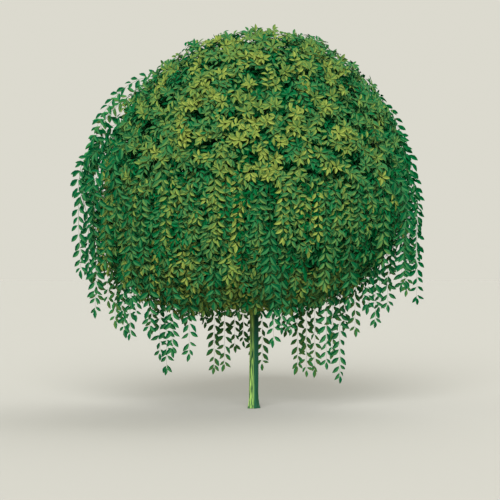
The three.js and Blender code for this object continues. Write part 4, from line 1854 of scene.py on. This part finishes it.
@dataclass
class Crown:
    """Everything that grows on the boughs: limbs, branches, shoots and leaves.

    Attributes:
        form: The crown's form.
        skeleton: Its wood.
        nodes: The CAD nodes that it stands for.
        tassels: Those of them that are tassels.
        seed: Seed of the shoots.
        leaf_seed: Seed of the leaves.
        starred: Habit of sprays that end in a star, all over the dome.
        tufted: Habit of short upright tufts on top.
        leafy: Habit of plain sprays.
        shaded: Habit of sprays inside the crown.
        hanging: Habit of the curtain's shoots.
        long: Habit of long shoots that hang free.
        outer: Layers of sprays that are seen, from the brightest on, deeper ones darker as painted shade.
        inner: Layers that close the crown behind them, in the darkest tints as painted shade.
        curtain: The hanging shoots of the body.
        arches: Shoots that hang clear of it, from the highest on.
        fringe: Shoots below it.
    """

    form: CrownForm
    skeleton: Skeleton
    nodes: list[str]
    tassels: list[str]
    seed: int = 41
    leaf_seed: int = 31
    # Each habit's spacing, leaf and spread come first.
    starred: Habit = Habit(0.052, 0.062, 56, star=6, droop=0.04, fronting=0.35, segments=2, breadth=0.92)
    tufted: Habit = Habit(
        0.040, 0.060, 52, star=6, droop=0.0, fronting=1.0, rise=(40, 80), lean=1.0, segments=2
    )
    leafy: Habit = Habit(0.050, 0.060, 54, droop=0.10, fronting=0.25)
    shaded: Habit = Habit(0.046, 0.074, 60, star=5, droop=0.06, segments=2)
    hanging: Habit = Habit(0.055, 0.061, 54, droop=0.10, roll=0.3, fronting=0.5, segments=6, foot=0.0017)
    long: Habit = Habit(0.063, 0.076, 50, droop=0.18, roll=0.22, fronting=2.0, segments=9, foot=0.0019)
    # Each layer's habit, count, zone, depth, length and light.
    outer: tuple[Layer, ...] = (
        Layer(tufted, 230, (0, 80), (0.940, 0.960), (0.03, 0.055), (0.53, 0.35, 0.12)),
        Layer(starred, 290, (0, 74), (0.97, 0.99), (0.04, 0.09), (0.53, 0.43, 0.13)),
        Layer(leafy, 880, (12, 146), (0.965, 0.99), (0.08, 0.14), (0.33, 0.57, 0.15)),
        Layer(starred, 380, (0, 72), (0.93, 0.955), (0.04, 0.09), (0.35, 0.28, 0.12)),
        Layer(leafy, 1500, (0, 146), (0.92, 0.955), (0.08, 0.14), (0.27, 0.36, 0.15)),
    )
    # Painted shade: the inner layers are dealt the darkest tints.
    inner: tuple[Layer, ...] = (
        Layer(leafy, 2500, (0, 146), (0.86, 0.91), (0.09, 0.16), (0.18, 0.12, 0.10)),
        Layer(shaded, 600, (0, 52), (0.83, 0.89), (0.06, 0.10), (0.10, 0.08, 0.06)),
        Layer(shaded, 2200, (0, 112), (0.74, 0.82), (0.08, 0.14), (0.02, 0.06, 0.05)),
    )
    curtain: Curtain = Curtain(hanging)
    # Each set's habit, count, zone, ride and tips.
    arches: tuple[Arches, ...] = (
        Arches(long, 10, (32, 44), (1.02, 1.06), (1.70, 2.10)),
        Arches(long, 14, (48, 62), (1.01, 1.06), (1.10, 1.65)),
        Arches(long, 14, (62, 76), (1.02, 1.07), (0.80, 1.20)),
    )
    fringe: Fringe = Fringe(long)

    def shoots(self) -> dict[str, list[Shoots]]:
        """Grows every kind of shoot, by the name of the piece that holds their stems."""
        grower = Grower(self.form, self.skeleton.fine_buds(), np.random.default_rng(self.seed))
        outer = [layer.grow(grower) for layer in self.outer]
        inner = [layer.grow(grower) for layer in self.inner]
        hanging = [kind.grow(grower) for kind in (self.curtain, *self.arches)]
        hanging.append(self.fringe.grow(grower, self.tassels))
        return {"outer_stems": outer, "inner_stems": inner, "hanging_stems": hanging}

    def build(self, bark: Material, stem: Material) -> None:
        """Grows and builds the crown.

        Args:
            bark: Finish of limbs and branches.
            stem: Finish of the shoots.
        """
        self.skeleton.build(bark, self.nodes)
        shoots = self.shoots()
        foliage = Foliage(self.form, np.random.default_rng(self.leaf_seed))
        for kind in sum(shoots.values(), []):
            foliage.clothe(kind)
        foliage.build(self.nodes)
        for name, kinds in shoots.items():
            Stems().build(name, kinds, stem, self.nodes)


def main() -> None:
    logging.basicConfig(level=logging.INFO, format="%(name)s %(message)s")
    Studio().build()
    names = sorted(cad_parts)
    bough_names = [n for n in names if n.startswith("bough_")]
    tassels = [n for n in names if n.startswith("tassel_")]
    masses = [n for n in names if "_mass_" in n or n == "crown_top"]
    form = CrownForm.from_frame(masses)
    group = bark_group()
    trunk_bark = BarkFinish("willow_bark")
    bough_bark = BarkFinish("bough_bark", cover=0.8, moss=0.0)
    colours = (0.05, 0.10, 0.03), (0.012, 0.045, 0.015), (0.03, 0.09, 0.025)
    young_bark = BarkFinish("young_bark", *colours, fineness=2.2, cover=0.6, moss=0.0, relief=0.001)
    stem = PlainFinish("shoot_stem", (0.020, 0.070, 0.022), roughness=0.6, specular=0.1)
    Trunk(np.random.default_rng(seed=3)).build(trunk_bark.material(group))
    skeleton = Skeleton(form, np.random.default_rng(seed=11), bough_names)
    skeleton.grow()
    Boughs(skeleton, np.random.default_rng(seed=5)).build(bough_bark.material(group))
    crown = Crown(form, skeleton, masses + tassels, tassels)
    crown.build(young_bark.material(group), stem.material())


if __name__ == "__main__":
    main()
